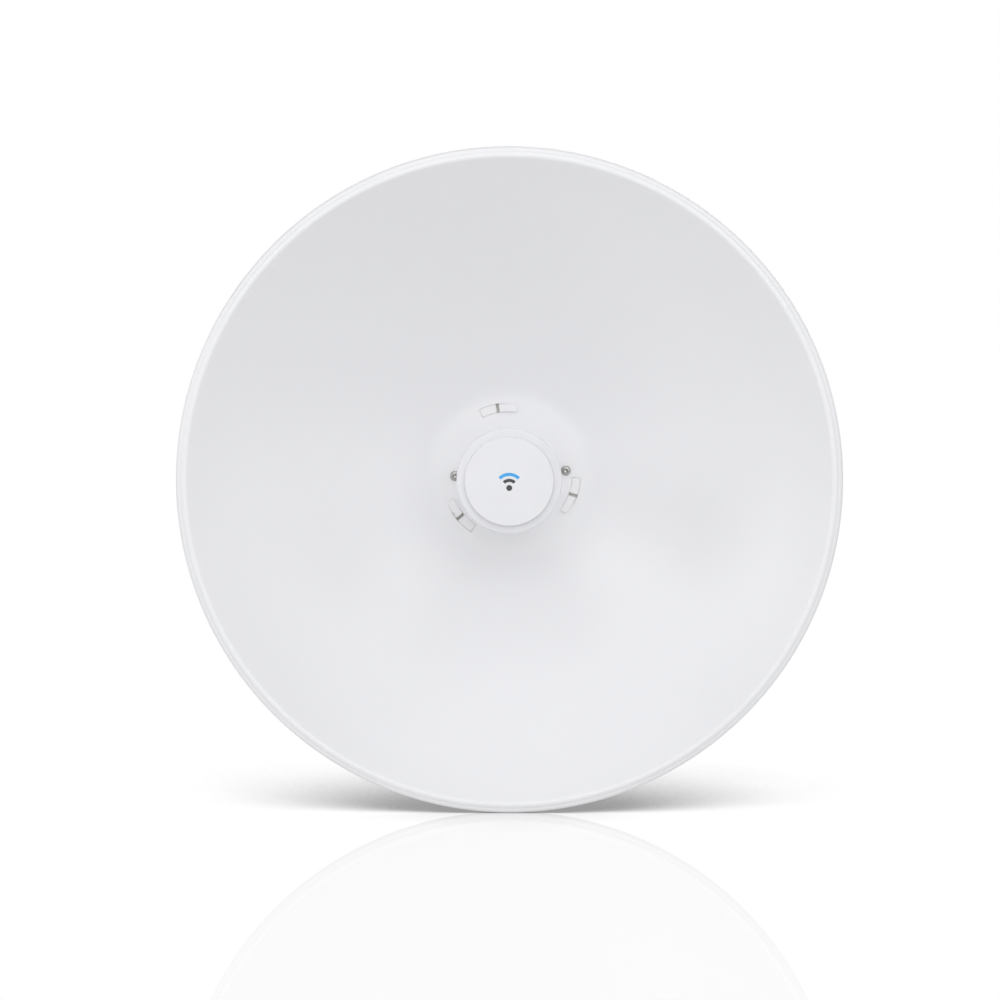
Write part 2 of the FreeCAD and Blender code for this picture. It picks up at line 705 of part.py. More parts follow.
def cable_grommet():
    body = new_body("cable_grommet")
    fit = 0.1
    bottom = S.grommet_inside - S.grommet_height

    def u_shape(sketch, half, front_z):
        end = Bend(half, 1)
        return sketch.outline(
            (-half, front_z), (-half, S.notch_z), end, (0, S.notch_z - half), end,
            (half, S.notch_z), (half, front_z),
        )

    front_z = S.door_front_z - S.door_gap
    pad(u_shape(Sketch(body, "grommet_plug", "top", bottom), S.notch_half - fit, front_z), S.grommet_height)
    lip_half = S.notch_half + S.grommet_overlap
    lip = Sketch(body, "grommet_lip", "top", S.grommet_inside - S.grommet_lip)
    pad(u_shape(lip, lip_half, front_z), S.grommet_lip)
    bore = Sketch(body, "grommet_bore", "top", bottom - 1)
    bore.circle(0, S.notch_z, S.cable_bore)
    pocket(bore, S.grommet_height + 2)


# ---- feed ----

FLANGE_REAR_Z = S.flat_z + 0.8
SEAL_TOP_Z = S.flat_z + 2 * S.seal_section
TUBE_TAPER_Z = 230
PORT_X = (-7.8, 6.3)
PORT_Z = (95.2, 111.8)
INDICATOR_X = -11.1
RESET_X = -11.6
RESET_Z = 109.5
FIRST_LED_Z = 95.5
LED_PITCH = 3
LED_COUNT = 4
LED_BORE = 0.9
RESET_BORE = 1.7


def feed_tube():
    body = new_body("feed_tube")
    groove_z = S.latch_z - S.latch_side
    groove_end = S.latch_z + S.latch_ring + S.latch_side
    seal_room, round_edge, flange, step = 0.1, 2, 4.2, 0.5
    seal_inner = S.seal_circle - S.seal_section - seal_room
    seal_outer = S.seal_circle + S.seal_section + seal_room
    flange_top = FLANGE_REAR_Z + flange
    neck = S.tube_radius - step
    turn(Sketch(body, "tube_profile", "top").outline(
        (S.tube_inner, S.tube_rear_z), (S.tube_radius, S.tube_rear_z), (S.tube_radius, groove_z),
        (S.latch_groove, groove_z), (S.latch_groove, groove_end), (S.tube_radius, groove_end),
        (S.tube_radius, FLANGE_REAR_Z), (seal_inner, FLANGE_REAR_Z), (seal_inner, SEAL_TOP_Z),
        (seal_outer, SEAL_TOP_Z), (seal_outer, FLANGE_REAR_Z), (S.base_flange, FLANGE_REAR_Z),
        (S.base_flange, flange_top - round_edge), Bend(round_edge, 1),
        (S.base_flange - round_edge, flange_top), (neck + round_edge, flange_top),
        Bend(round_edge, -1), (neck, flange_top + round_edge),
        (S.tube_front_radius, TUBE_TAPER_Z), (S.tube_front_radius, S.tube_front_z),
        (S.tube_front_inner, S.tube_front_z), (S.tube_inner, S.flat_z - 2),
    ))
    outside_y, port_reach, hole_reach = -40, 26, 30
    port = Sketch(body, "tube_port", "top", outside_y)
    port.box(PORT_X[0], PORT_Z[0], PORT_X[1], PORT_Z[1])
    pocket(port, port_reach)
    pins = Sketch(body, "tube_indicator_holes", "top", outside_y)
    pins.circle(RESET_X, RESET_Z, RESET_BORE)
    for k in range(LED_COUNT):
        pins.circle(INDICATOR_X, FIRST_LED_Z + k * LED_PITCH, LED_BORE)
    pocket(pins, hole_reach)
    seat_y, seat_radius, seat_reach = -17.6, 2.6, 8
    seat = Sketch(body, "tube_reset_seat", "top", seat_y)
    seat.circle(RESET_X, RESET_Z, seat_radius)
    pocket(seat, seat_reach)


def feed_end_cap():
    body = new_body("feed_end_cap")
    thick, plug, wall, room = 2, 3, 1.9, 0.1
    fit = S.tube_inner - room
    turn(Sketch(body, "end_cap_profile", "top").outline(
        (0, S.tube_rear_z - thick), (S.tube_radius - 1, S.tube_rear_z - thick), Bend(1, 1),
        (S.tube_radius, S.tube_rear_z - thick + 1), (S.tube_radius, S.tube_rear_z),
        (fit, S.tube_rear_z), (fit, S.tube_rear_z + plug), (fit - wall, S.tube_rear_z + plug),
        (fit - wall, S.tube_rear_z), (0, S.tube_rear_z),
    ))


def feed_seal():
    """Rubber ring between the feed's flange and the reflector."""
    body = new_body("feed_seal")
    middle_z = S.flat_z + S.seal_section
    section = Sketch(body, "seal_section", "top").circle(S.seal_circle, middle_z, S.seal_section)
    turn(section)


SHELL_RIM_Z = S.cap_back_z - 0.5


def head_shell():
    """The feed head's rear shell, a funnel that carries the front cap."""
    body = new_body("head_shell")
    bore = S.tube_front_radius + 0.05
    neck = bore + S.head_wall + 0.15
    rim_inner = S.head_radius - S.head_wall
    rear_z, cone_z, shoulder_z = TUBE_TAPER_Z + 1, 238, 248.5
    floor_z, inner_shoulder_z, inset = 240.5, 249.6, 0.2
    turn(Sketch(body, "shell_profile", "top").outline(
        (bore, rear_z), (neck, rear_z), (neck, cone_z), (S.head_radius, shoulder_z),
        (S.head_radius, SHELL_RIM_Z), (rim_inner, SHELL_RIM_Z), (rim_inner, inner_shoulder_z),
        (neck + inset, floor_z), (bore, floor_z),
    ))


def cap_seal():
    """Flat gasket between the front cap and the feed head's shell."""
    body = new_body("cap_seal")
    turn(Sketch(body, "cap_seal_profile", "top").box(
        S.head_radius - S.head_wall, SHELL_RIM_Z, S.head_radius - 0.2, S.cap_back_z))


def front_cap():
    body = new_body("front_cap")
    wall, edge, small, step = 2, 1.5, 0.8, 0.5
    spigot_inner, spigot_outer = 36.4, 38.3
    spigot_z = S.cap_back_z - 1.6
    face_round = 0.9
    turn(Sketch(body, "cap_profile", "top").outline(
        (spigot_inner, spigot_z), (spigot_outer, spigot_z), (spigot_outer, S.cap_back_z),
        (S.cap_radius - small, S.cap_back_z), Bend(small, 1), (S.cap_radius, S.cap_back_z + small),
        (S.cap_radius, S.cap_flange_z - edge), Bend(edge, 1), (S.cap_radius - edge, S.cap_flange_z),
        (S.cap_disc + step, S.cap_flange_z), Bend(step, -1), (S.cap_disc, S.cap_flange_z + step),
        (S.cap_disc, S.cap_front_z - face_round), Bend(face_round, 1),
        (S.cap_disc - face_round, S.cap_front_z), (0, S.cap_front_z), (0, S.cap_front_z - wall),
        (S.cap_disc - wall, S.cap_front_z - wall), (S.cap_disc - wall, S.cap_flange_z - wall),
        (spigot_inner, S.cap_flange_z - wall),
    ))


MARK_FOOT = -5.0
MARK_FROM, MARK_TO = 135, 45
INK = 0.12


def cap_mark_outer():
    """The plain signal mark printed on the cap: its outer arc."""
    body = new_body("cap_mark_outer")
    inner, outer = 9.4, 11.9
    ink = Sketch(body, "outer_arc", "front", S.cap_front_z)
    pad(ink.sector(inner, outer, MARK_FROM, MARK_TO, 0, MARK_FOOT), INK)


def cap_mark_inner():
    """The mark's inner arc and its dot."""
    body = new_body("cap_mark_inner")
    inner, outer, dot = 4.7, 7.2, 2.3
    ink = Sketch(body, "inner_arc", "front", S.cap_front_z)
    ink.sector(inner, outer, MARK_FROM, MARK_TO, 0, MARK_FOOT)
    ink.circle(0, MARK_FOOT, dot)
    pad(ink, INK)


SUBREFLECTOR_Z = 256.6
RADIATOR_Z = 243
RADIATOR_TOP = 244.6
POST = 4
POST_PIN = 1.6


def subreflector():
    body = new_body("subreflector")
    outer, wall, lip = 32.4, 1, 1.6
    rim_z, top_z = SUBREFLECTOR_Z - lip, SUBREFLECTOR_Z + wall
    turn(Sketch(body, "subreflector_profile", "top").outline(
        (POST_PIN, SUBREFLECTOR_Z), (outer - wall, SUBREFLECTOR_Z), (outer - wall, rim_z),
        (outer, rim_z), (outer, top_z), (POST_PIN, top_z),
    ))


def radiator_board():
    body = new_body("radiator_board")
    radius = 27
    pad(Sketch(body, "radiator_disc", "front", RADIATOR_Z).circle(0, 0, radius), RADIATOR_TOP - RADIATOR_Z)


def driven_element():
    """The crossed copper dipoles on the radiator board."""
    body = new_body("driven_element")
    arm, half, foil = 11, 2.2, 0.2
    first = Sketch(body, "dipole_across", "front", RADIATOR_TOP).box(-arm, -half, arm, half)
    pad(first, foil)
    second = Sketch(body, "dipole_up", "front", RADIATOR_TOP).box(-half, -arm, half, arm)
    pad(second, foil)
    pocket(Sketch(body, "dipole_hole", "front", RADIATOR_TOP).circle(0, 0, POST), foil)


def parasitic_disc():
    body = new_body("parasitic_disc")
    rear_z, radius, thick = 250, 13, 0.8
    disc = Sketch(body, "parasitic_outline", "front", rear_z)
    disc.circle(0, 0, radius)
    disc.circle(0, 0, POST)
    pad(disc, thick)


def element_post():
    """The plastic post that spaces the parasitic disc and the subreflector from the board."""
    body = new_body("element_post")
    pin_z = SUBREFLECTOR_Z + 1.8
    turn(Sketch(body, "post_profile", "top").outline(
        (0, RADIATOR_TOP), (POST, RADIATOR_TOP), (POST, SUBREFLECTOR_Z), (POST_PIN, SUBREFLECTOR_Z),
        (POST_PIN, pin_z), (0, pin_z),
    ))


# ---- radio inside the feed tube ----

BOARD_BACK_X = S.board_x - S.board
BOARD_REAR_Z = 94


def block(label, x, y, z):
    """A body that is one rectangular block, from its ranges."""
    body = new_body(label)
    sketch = Sketch(body, f"{label}_outline", "front", z[0])
    sketch.box(x[0], y[0], x[1], y[1])
    pad(sketch, dim(z[1]) - z[0])
    return body


def main_board():
    body = new_body("main_board")
    tongue, shoulder_z = 8, 236
    outline = Sketch(body, "board_outline", "side", BOARD_BACK_X)
    outline.outline(
        (-S.board_half, BOARD_REAR_Z), (S.board_half, BOARD_REAR_Z), (S.board_half, shoulder_z),
        (tongue, shoulder_z), (tongue, RADIATOR_Z), (-tongue, RADIATOR_Z), (-tongue, shoulder_z),
        (-S.board_half, shoulder_z),
    )
    pad(outline, S.board)


def radio_shield():
    shield_can("radio_shield", rear_z=146, front_z=182)


def front_end_shield():
    shield_can("front_end_shield", rear_z=186, front_z=218)


def lan_transformer():
    height, half, rear_z, front_z = 5.6, 8, 127, 138
    block("lan_transformer", (S.board_x, S.board_x + height), (-half, half), (rear_z, front_z))


def shield_can(label, rear_z, front_z):
    """A thin screening lid over radio circuits, open towards the board."""
    wall, height, half = 0.5, 4.2, 13
    body = block(label, (S.board_x, S.board_x + height), (-half, half), (rear_z, front_z))
    hollow = Sketch(body, f"{label}_hollow", "side", S.board_x)
    hollow.box(-half + wall, rear_z + wall, half - wall, front_z - wall)
    pocket(hollow, height - wall)


JACK_X = (-7.5, 6.0)
JACK_Y = (-19.5, 1.5)
JACK_Z = (95.5, 111.5)
SOCKET_X = (-5.2, 3.2)
SOCKET_Z = (97.6, 109.4)
SOCKET_DEPTH = 14
CONTACT = 0.4
CONTACT_SETBACK = 3


def ethernet_jack():
    body = block("ethernet_jack", JACK_X, JACK_Y, JACK_Z)
    socket = Sketch(body, "jack_socket", "top", JACK_Y[0])
    middle = (SOCKET_Z[0] + SOCKET_Z[1]) / 2
    latch_half, latch_x = 3, 4.8
    socket.outline(
        (SOCKET_X[0], SOCKET_Z[0]), (SOCKET_X[1], SOCKET_Z[0]), (SOCKET_X[1], middle - latch_half),
        (latch_x, middle - latch_half), (latch_x, middle + latch_half),
        (SOCKET_X[1], middle + latch_half), (SOCKET_X[1], SOCKET_Z[1]), (SOCKET_X[0], SOCKET_Z[1]),
    )
    pocket(socket, SOCKET_DEPTH)


def jack_contacts():
    """Eight sprung contact wires in the socket."""
    body = new_body("jack_contacts")
    pitch, count = 1.02, 8
    first_z = (SOCKET_Z[0] + SOCKET_Z[1]) / 2 - pitch * (count - 1) / 2 - CONTACT / 2
    wire = Sketch(body, "contact_wire", "top", JACK_Y[0] + CONTACT_SETBACK)
    wire.box(SOCKET_X[0], first_z, SOCKET_X[0] + CONTACT, first_z + CONTACT)
    raised = pad(wire, SOCKET_DEPTH - CONTACT_SETBACK)
    along(body, [raised], "Z_Axis", pitch * (count - 1), count)


def capacitors():
    body = new_body("capacitors")
    apart, middle_z, radius, height = 9, 118.5, 4, 10
    cans = Sketch(body, "capacitor_rounds", "side", S.board_x)
    for y in (apart, -apart):
        cans.circle(y, middle_z, radius)
    pad(cans, height)


def heat_spreader():
    """The finned aluminium block behind the radio's board."""
    thick, half, rear_z, front_z = 7.5, 9, 136, 206
    base, fin, slots = 2.5, 2, 4
    body = block("heat_spreader", (BOARD_BACK_X - thick, BOARD_BACK_X), (-half, half), (rear_z, front_z))
    slot = Sketch(body, "fin_slot", "side", BOARD_BACK_X - thick)
    slot.box(-half + fin, rear_z, -half + 2 * fin, front_z)
    cut = pocket(slot, thick - base)
    along(body, [cut], "Y_Axis", 2 * fin * (slots - 1), slots)


def coax_jumpers():
    body = new_body("coax_jumpers")
    rear_z, apart, radius, lift = 226, 12, 1.2, 0.1
    ends = Sketch(body, "jumper_rounds", "front", rear_z)
    for y in (apart, -apart):
        ends.circle(S.board_x + radius + lift, y, radius)
    pad(ends, RADIATOR_Z - rear_z)


LED_TOP = -16.0
LED_HALF = 0.8
LENS_END = -22.6
RESET_END = -22.9
RESET_TOP = -16.3
RESET_TRAVEL = 0.6
RESET_HEAD = 2.1


def status_leds():
    body = new_body("status_leds")
    chip = Sketch(body, "led_chip", "top", LED_TOP)
    chip.box(INDICATOR_X - LED_BORE, FIRST_LED_Z - LED_HALF, BOARD_BACK_X, FIRST_LED_Z + LED_HALF)
    raised = pad(chip, 2 * LED_HALF)
    along(body, [raised], "Z_Axis", LED_PITCH * (LED_COUNT - 1), LED_COUNT)


def led_lenses():
    """Clear pins that bring the status lights out through the tube's wall."""
    body = new_body("led_lenses")
    pin = Sketch(body, "lens_pin", "top", LENS_END)
    pin.circle(INDICATOR_X, FIRST_LED_Z, LED_BORE)
    raised = pad(pin, LED_TOP - LENS_END)
    along(body, [raised], "Z_Axis", LED_PITCH * (LED_COUNT - 1), LED_COUNT)


def reset_switch():
    spare, half, height = 0.2, 2, 3.5
    bottom = RESET_TOP + RESET_TRAVEL + spare
    block("reset_switch", (BOARD_BACK_X - 2 * half, BOARD_BACK_X), (bottom, bottom + height),
          (RESET_Z - half, RESET_Z + half))


def reset_button():
    body = new_body("reset_button")
    clearance, head_thick = 0.3, 0.9
    pin = Sketch(body, "reset_pin", "top", RESET_END)
    pin.circle(RESET_X, RESET_Z, RESET_BORE - clearance)
    pad(pin, RESET_TOP - RESET_END)
    head = Sketch(body, "reset_head", "top", RESET_TOP)
    head.circle(RESET_X, RESET_Z, RESET_HEAD)
    pad(head, head_thick, toward=-1)


# ---- feed latch ----


def feed_latch():
    """A ring that drops into the tube's groove, and the button that lifts it out."""
    body = new_body("feed_latch")
    ring = Sketch(body, "latch_ring", "front", S.latch_z)
    ring.circle(0, S.latch_raised, S.latch_outer)
    ring.circle(0, S.latch_raised, S.latch_hole)
    pad(ring, S.latch_ring)
    stem_half, stem_top, overlap, button_round = 5, 60, 2, 1.2
    stem = Sketch(body, "latch_stem", "front", S.latch_z)
    stem.box(-stem_half, S.latch_raised + S.latch_outer - overlap, stem_half, stem_top)
    pad(stem, S.latch_ring)
    button = Sketch(body, "latch_button", "top", stem_top)
    button.circle(0, S.latch_z + S.latch_ring / 2, S.latch_button)
    pad(button, S.latch_button_top - stem_top)
    top = S.latch_button_top.number
    fillet(body, button_round, lambda edge: all(near(v.Y, top) for v in edge.Vertexes))


def latch_spring():
    """A coil between the latch's ring and its ledge, swept along a helix."""
    wire, coil, turns = 0.45, 3.0, 6
    ring_bottom = (S.latch_raised - S.latch_outer).number
    low, high = S.spring_ledge.number + wire, ring_bottom - wire
    helix = Part.makeHelix((high - low) / turns, high - low, coil)
    ends = helix.Edges[0]
    start, heading = ends.valueAt(ends.FirstParameter), ends.tangentAt(ends.FirstParameter)
    section = Part.Wire(Part.Edge(Part.Circle(start, heading, wire)))
    shape = Part.Wire(helix).makePipeShell([section], True, True)
    body = DOCUMENT.addObject("Part::Feature", "latch_spring")
    body.Label = "latch_spring"
    middle_z = (S.latch_z + S.latch_ring / 2).number
    local = FreeCAD.Placement(
        FreeCAD.Vector(0, low, middle_z), FreeCAD.Rotation(FreeCAD.Vector(1, 0, 0), -90)
    )
    body.Shape = shape
    body.Placement = STANDING.multiply(local)


# ---- pole mount ----

PIVOT = (S.pivot_y, S.pivot_z)
LOCK = (S.pivot_y + S.tilt_slot, S.pivot_z)
HEAD_GAP = 0.3
BOLT_FIT = 0.05
FOLD_ROUND = 2.4
JAW_SLOPE = 37.5
JAW_TEETH = 3


def jaw(sketch, side):
    """A jaw's outline in plan: a round saddle for the pole, flanked by teeth, on the web's side."""
    depth = S.web_z + S.bracket_sheet / 2
    tip_x, tip_z = polar(S.pole_radius, S.jaw_angle)
    out, down = cosine(JAW_SLOPE), sine(JAW_SLOPE)
    flank = [(tip_x, tip_z)]
    for k in range(JAW_TEETH):
        middle = S.tooth_pitch * (k + 0.5)
        flank.append((tip_x + middle * out + S.tooth_depth * down,
                      tip_z - middle * down + S.tooth_depth * out))
        full = S.tooth_pitch * (k + 1)
        flank.append((tip_x + full * out, tip_z - full * down))
    right = flank + [(S.jaw_half, flank[-1][1]), (S.jaw_half, depth)]
    left = [(-x, z) for x, z in reversed(right)]
    points = right + left
    if side > 0:
        return sketch.outline(*points, Bend(S.pole_radius, -1))
    return sketch.outline(*[(x, -z) for x, z in points], Bend(S.pole_radius, 1))


def jaws(body, name, top, side):
    """A bracket's two jaws, folded from the top and bottom of its web."""
    upper = pad(jaw(Sketch(body, f"{name}_jaw", "top", top), side), S.bracket_sheet, toward=-1)
    mirror(body, [upper], "XZ_Plane")


def pole_bracket():
    body = new_body("pole_bracket")
    web = Sketch(body, "bracket_web", "front", S.web_z)
    web.box(-S.web_half, -S.bracket_half, S.web_half, S.bracket_half)
    pad(web, S.bracket_sheet)
    jaws(body, "bracket", S.bracket_half, 1)
    ear = Sketch(body, "bracket_ear", "side", S.web_half)
    top = S.tilt_slot + S.tilt_slot_half + S.ear_margin
    low = S.pivot_y - S.pivot_round
    ear.outline(
        (low, S.web_z), (S.bracket_half, S.web_z), (S.bracket_half, S.web_z + 2 * S.bracket_sheet),
        polar(top, -S.ear_angle, *PIVOT), Bend(top, 1), polar(top, S.ear_angle, *PIVOT),
        (S.pivot_y, S.pivot_z + S.pivot_round), Bend(S.pivot_round, 1), (low, S.pivot_z),
    )
    ear_pad = pad(ear, S.bracket_sheet, toward=-1)
    mirror(body, [ear_pad])
    tilt_slots(body)
    necks = Sketch(body, "neck_holes", "front", S.web_z)
    room = 0.1
    half = S.neck / 2 + room
    for x in (S.bolt_x, -S.bolt_x):
        necks.box(x - half, -half, x + half, half)
    pocket(necks, S.bracket_sheet)
    tilt_scale(body)
    bend_edges(body, S.web_half, S.web_z)


def tilt_slots(body):
    """The pivot holes and the curved elevation slots through both ears."""
    inner, outer = S.tilt_slot - S.tilt_slot_half, S.tilt_slot + S.tilt_slot_half
    holes = Sketch(body, "pivot_holes", "side")
    holes.circle(*PIVOT, S.bolt + BOLT_FIT)
    end = Bend(S.tilt_slot_half, -1)
    cap = 180 / math.pi * S.tilt_slot_half / S.tilt_slot
    holes.outline(
        polar(outer, S.tilt_reach, *PIVOT), Bend(outer, -1), polar(outer, -S.tilt_reach, *PIVOT),
        end, polar(S.tilt_slot, -S.tilt_reach - cap, *PIVOT),
        end, polar(inner, -S.tilt_reach, *PIVOT),
        Bend(inner, 1), polar(inner, S.tilt_reach, *PIVOT),
        end, polar(S.tilt_slot, S.tilt_reach + cap, *PIVOT), end,
    )
    pocket(holes, 4 * S.web_half, middle=True)


def tilt_scale(body):
    """Short lines stamped beside the slot on each ear, every five degrees."""
    gap, half, long, short, depth, pitch = 1.2, 0.25, 2.8, 1.8, 0.3, 5
    inner = S.tilt_slot + S.tilt_slot_half + gap
    marks = Sketch(body, "scale_marks", "side", S.web_half)
    for step in range(-4, 5):
        angle = pitch * step
        outer = inner + (long if step % 2 == 0 else short)
        across = (-sine(angle) * half, cosine(angle) * half)
        near_y, near_z = polar(inner, angle, *PIVOT)
        far_y, far_z = polar(outer, angle, *PIVOT)
        marks.outline(
            (near_y - across[0], near_z - across[1]), (far_y - across[0], far_z - across[1]),
            (far_y + across[0], far_z + across[1]), (near_y + across[0], near_z + across[1]),
        )
    cut = pocket(marks, depth, toward=-1)
    mirror(body, [cut])


def bend_edges(body, half, back_z):
    """Rounds the outside of the fold between a bracket's web and its ears."""
    half, back_z = half.number, back_z.number

    def fold(edge):
        points = edge.Vertexes
        upright = len(points) == 2 and near(points[0].X, points[1].X) and near(points[0].Z, points[1].Z)
        return upright and near(abs(points[0].X), half) and near(points[0].Z, back_z)

    fillet(body, FOLD_ROUND, fold)


def pole_clamp():
    body = new_body("pole_clamp")
    corner, hole_room = 6, 0.5
    web = Sketch(body, "clamp_web", "front", -S.web_z)
    web.rounded_box(-S.clamp_width, -S.clamp_half, S.clamp_width, S.clamp_half, dim(corner))
    pad(web, S.bracket_sheet, toward=-1)
    jaws(body, "clamp", S.clamp_half, -1)
    holes = Sketch(body, "clamp_bolt_holes", "front", -S.web_z)
    for x in (S.bolt_x, -S.bolt_x):
        holes.circle(x, 0, S.bolt + hole_room)
    pocket(holes, S.bracket_sheet, toward=-1)


def carriage_bolts():
    body = new_body("carriage_bolts")
    head_z = S.web_z + S.bracket_sheet
    neck = Sketch(body, "bolt_neck", "front", head_z)
    half = S.neck / 2
    neck.box(S.bolt_x - half, -half, S.bolt_x + half, half)
    shank = Sketch(body, "bolt_shank", "front", head_z)
    shank.circle(S.bolt_x, 0, S.bolt)
    head = Sketch(body, "bolt_head", "front", head_z)
    head.circle(S.bolt_x, 0, S.bolt_head)
    solids = [
        pad(neck, S.bracket_sheet, toward=-1),
        pad(shank, head_z - S.bolt_end_z, toward=-1),
        pad(head, S.bolt_head_height),
    ]
    mirror(body, solids)
    brim, end_round = 0.9, 0.8
    top = (head_z + S.bolt_head_height).number
    fillet(body, S.bolt_head_height - brim, lambda edge: all(near(v.Z, top) for v in edge.Vertexes))
    end = S.bolt_end_z.number
    fillet(body, end_round, lambda edge: all(near(v.Z, end) for v in edge.Vertexes))


def nuts(label, view, places, face, toward, bore, flange, flats, height):
    """Flange nuts on a face, as separate solids of one body."""
    body = new_body(label)
    base = 1.6
    for index, (x, y) in enumerate(places):
        ring = Sketch(body, f"{label}_flange_{index}", view, face)
        ring.circle(x, y, flange)
        ring.circle(x, y, bore)
        pad(ring, base, toward=toward)
        hexagon = Sketch(body, f"{label}_hexagon_{index}", view, face)
        hexagon.hexagon(x, y, flats)
        hexagon.circle(x, y, bore)
        pad(hexagon, height, toward=toward)
    return body


def clamp_nuts():
    places = [(S.bolt_x, 0), (-S.bolt_x, 0)]
    face = -S.web_z - S.bracket_sheet - S.washer
    bore = S.bolt + BOLT_FIT
    nuts("clamp_nuts", "front", places, face, -1, bore, S.nut_flange, S.nut_flats, S.nut_height)


def side_bolts(label, place, face, length, shank, flange, flats, head):
    """A flange-headed bolt through each ear, from outside."""
    body = new_body(label)
    washer = 1.4
    solids = [
        pad(Sketch(body, f"{label}_shank", "side", face).circle(*place, shank), length, toward=-1),
        pad(Sketch(body, f"{label}_flange", "side", face).circle(*place, flange), washer),
        pad(Sketch(body, f"{label}_hexagon", "side", face).hexagon(*place, flats), head),
    ]
    mirror(body, solids)


def pivot_bolts():
    length, head = 15.5, 6.4
    side_bolts("pivot_bolts", PIVOT, S.web_half, length, S.bolt, S.nut_flange, S.nut_flats, head)


def lock_bolts():
    length, head = 14.5, 5
    face = S.web_half + HEAD_GAP
    side_bolts("lock_bolts", LOCK, face, length, S.lock_bolt, S.lock_flange, S.lock_flats, head)


def side_nuts(label, place, face, bore, flange, flats, height):
    """A flange nut on each bolt's inner end."""
    body = nuts(label, "side", [place], face, -1, bore, flange, flats, height)
    mirror(body, [f for f in body.Group if f.TypeId == "PartDesign::Pad"])


def pivot_nuts():
    face = S.tilt_half - S.bracket_sheet - HEAD_GAP
    height = 7
    side_nuts("pivot_nuts", PIVOT, face, S.bolt, S.nut_flange, S.nut_flats, height)


def lock_nuts():
    face = S.tilt_half - S.bracket_sheet
    height = 6
    side_nuts("lock_nuts", LOCK, face, S.lock_bolt, S.lock_flange, S.lock_flats, height)


def tilt_bracket():
    """The U of steel on the cover's back, whose ears turn on the pivot bolts."""
    body = new_body("tilt_bracket")
    back_z = S.cover_back_z - S.bracket_sheet
    web = Sketch(body, "tilt_web", "front", back_z)
    web.box(-S.tilt_half, -S.tilt_height, S.tilt_half, S.tilt_height)
    pad(web, S.bracket_sheet)
    ear = Sketch(body, "tilt_ear", "side", S.tilt_half)
    low, high = S.pivot_y - S.pivot_round, LOCK[0] + S.lock_round
    ear.outline(
        (S.tilt_height, S.cover_back_z), (-S.tilt_height, S.cover_back_z), (-S.tilt_height, back_z),
        (low, S.pivot_z), Bend(S.pivot_round, -1), (S.pivot_y, S.pivot_z - S.pivot_round),
        (LOCK[0], LOCK[1] - S.lock_round), Bend(S.lock_round, -1), (high, S.pivot_z),
        (S.tilt_height, back_z),
    )
    mirror(body, [pad(ear, S.bracket_sheet, toward=-1)])
    pivot_fit, lightening = 0.06, 16
    bores = Sketch(body, "tilt_bores", "side")
    bores.circle(*PIVOT, S.bolt + pivot_fit)
    bores.circle(*LOCK, S.lock_bolt + BOLT_FIT)
    pocket(bores, 4 * S.tilt_half, middle=True)
    holes = Sketch(body, "tilt_web_holes", "front", back_z)
    holes.circle(0, 0, lightening)
    pocket(mount_screw_circles(holes, S.mount_screw + MOUNT_SCREW_ROOM), S.bracket_sheet)
    bend_edges(body, S.tilt_half, S.cover_back_z)


def four_ways(body, features):
    """Repeats features on both sides, above and below."""
    both = body.newObject("PartDesign::MultiTransform", f"{features[0].Name}_corners")
    both.Originals = features
    steps = []
    for plane in ("YZ_Plane", "XZ_Plane"):
        step = body.newObject("PartDesign::Mirrored", f"{features[0].Name}_{plane[:2]}")
        step.MirrorPlane = (origin_feature(body, plane), [""])
        steps.append(step)
    both.Transformations = steps
    body.Tip = both
    DOCUMENT.recompute()


def bracket_screws():
    body = new_body("bracket_screws")
    face = S.cover_back_z - S.bracket_sheet
    place = (S.mount_screw_x, S.mount_screw_y)
    shank = Sketch(body, "screw_shank", "front", face).circle(*place, S.mount_screw)
    head = Sketch(body, "screw_head", "front", face).circle(*place, S.mount_screw_head)
    socket_depth = 2.4
    socket = Sketch(body, "screw_socket", "front", face - S.mount_screw_head_height)
    socket.hexagon(*place, S.mount_socket_flats)
    four_ways(body, [
        pad(shank, S.mount_screw_length),
        pad(head, S.mount_screw_head_height, toward=-1),
        pocket(socket, socket_depth),
    ])


def bracket_inserts():
    """Brass inserts in the plate's bosses for the bracket screws."""
    body = new_body("bracket_inserts")
    insert = Sketch(body, "bracket_insert", "front", BOSS_TOP_Z)
    insert.circle(S.mount_screw_x, S.mount_screw_y, S.mount_insert)
    insert.circle(S.mount_screw_x, S.mount_screw_y, S.mount_screw)
    four_ways(body, [pad(insert, S.mount_insert_length)])


def dish_screws():
    """Two small flanged hexagon screws that stop the reflector turning out of its hooks."""
    body = new_body("dish_screws")
    place = polar(S.dish_screw_circle, S.dish_screw_angle)
    shank, flange, head, dimple, dimple_depth = 11.5, 0.9, 2.9, 1.9, 0.7
    around(body, [
        pad(Sketch(body, "dish_screw_shank", "front", S.flat_z).circle(*place, S.dish_screw_bore),
            shank, toward=-1),
        pad(Sketch(body, "dish_screw_flange", "front", S.flat_z).circle(*place, S.dish_screw_flange), flange),
        pad(Sketch(body, "dish_screw_hex", "front", S.flat_z).hexagon(*place, S.dish_screw_flats), head),
        pocket(Sketch(body, "dish_screw_dimple", "front", S.flat_z + head).circle(*place, dimple),
               dimple_depth, toward=-1),
    ], 2)


def dish_inserts():
    body = new_body("dish_inserts")
    place = polar(S.dish_screw_circle, S.dish_screw_angle)
    insert = Sketch(body, "dish_insert", "front", PLATE_FRONT_Z)
    insert.circle(*place, S.dish_insert)
    insert.circle(*place, S.dish_screw_bore)
    around(body, [pad(insert, S.dish_boss_depth - 2, toward=-1)], 2)


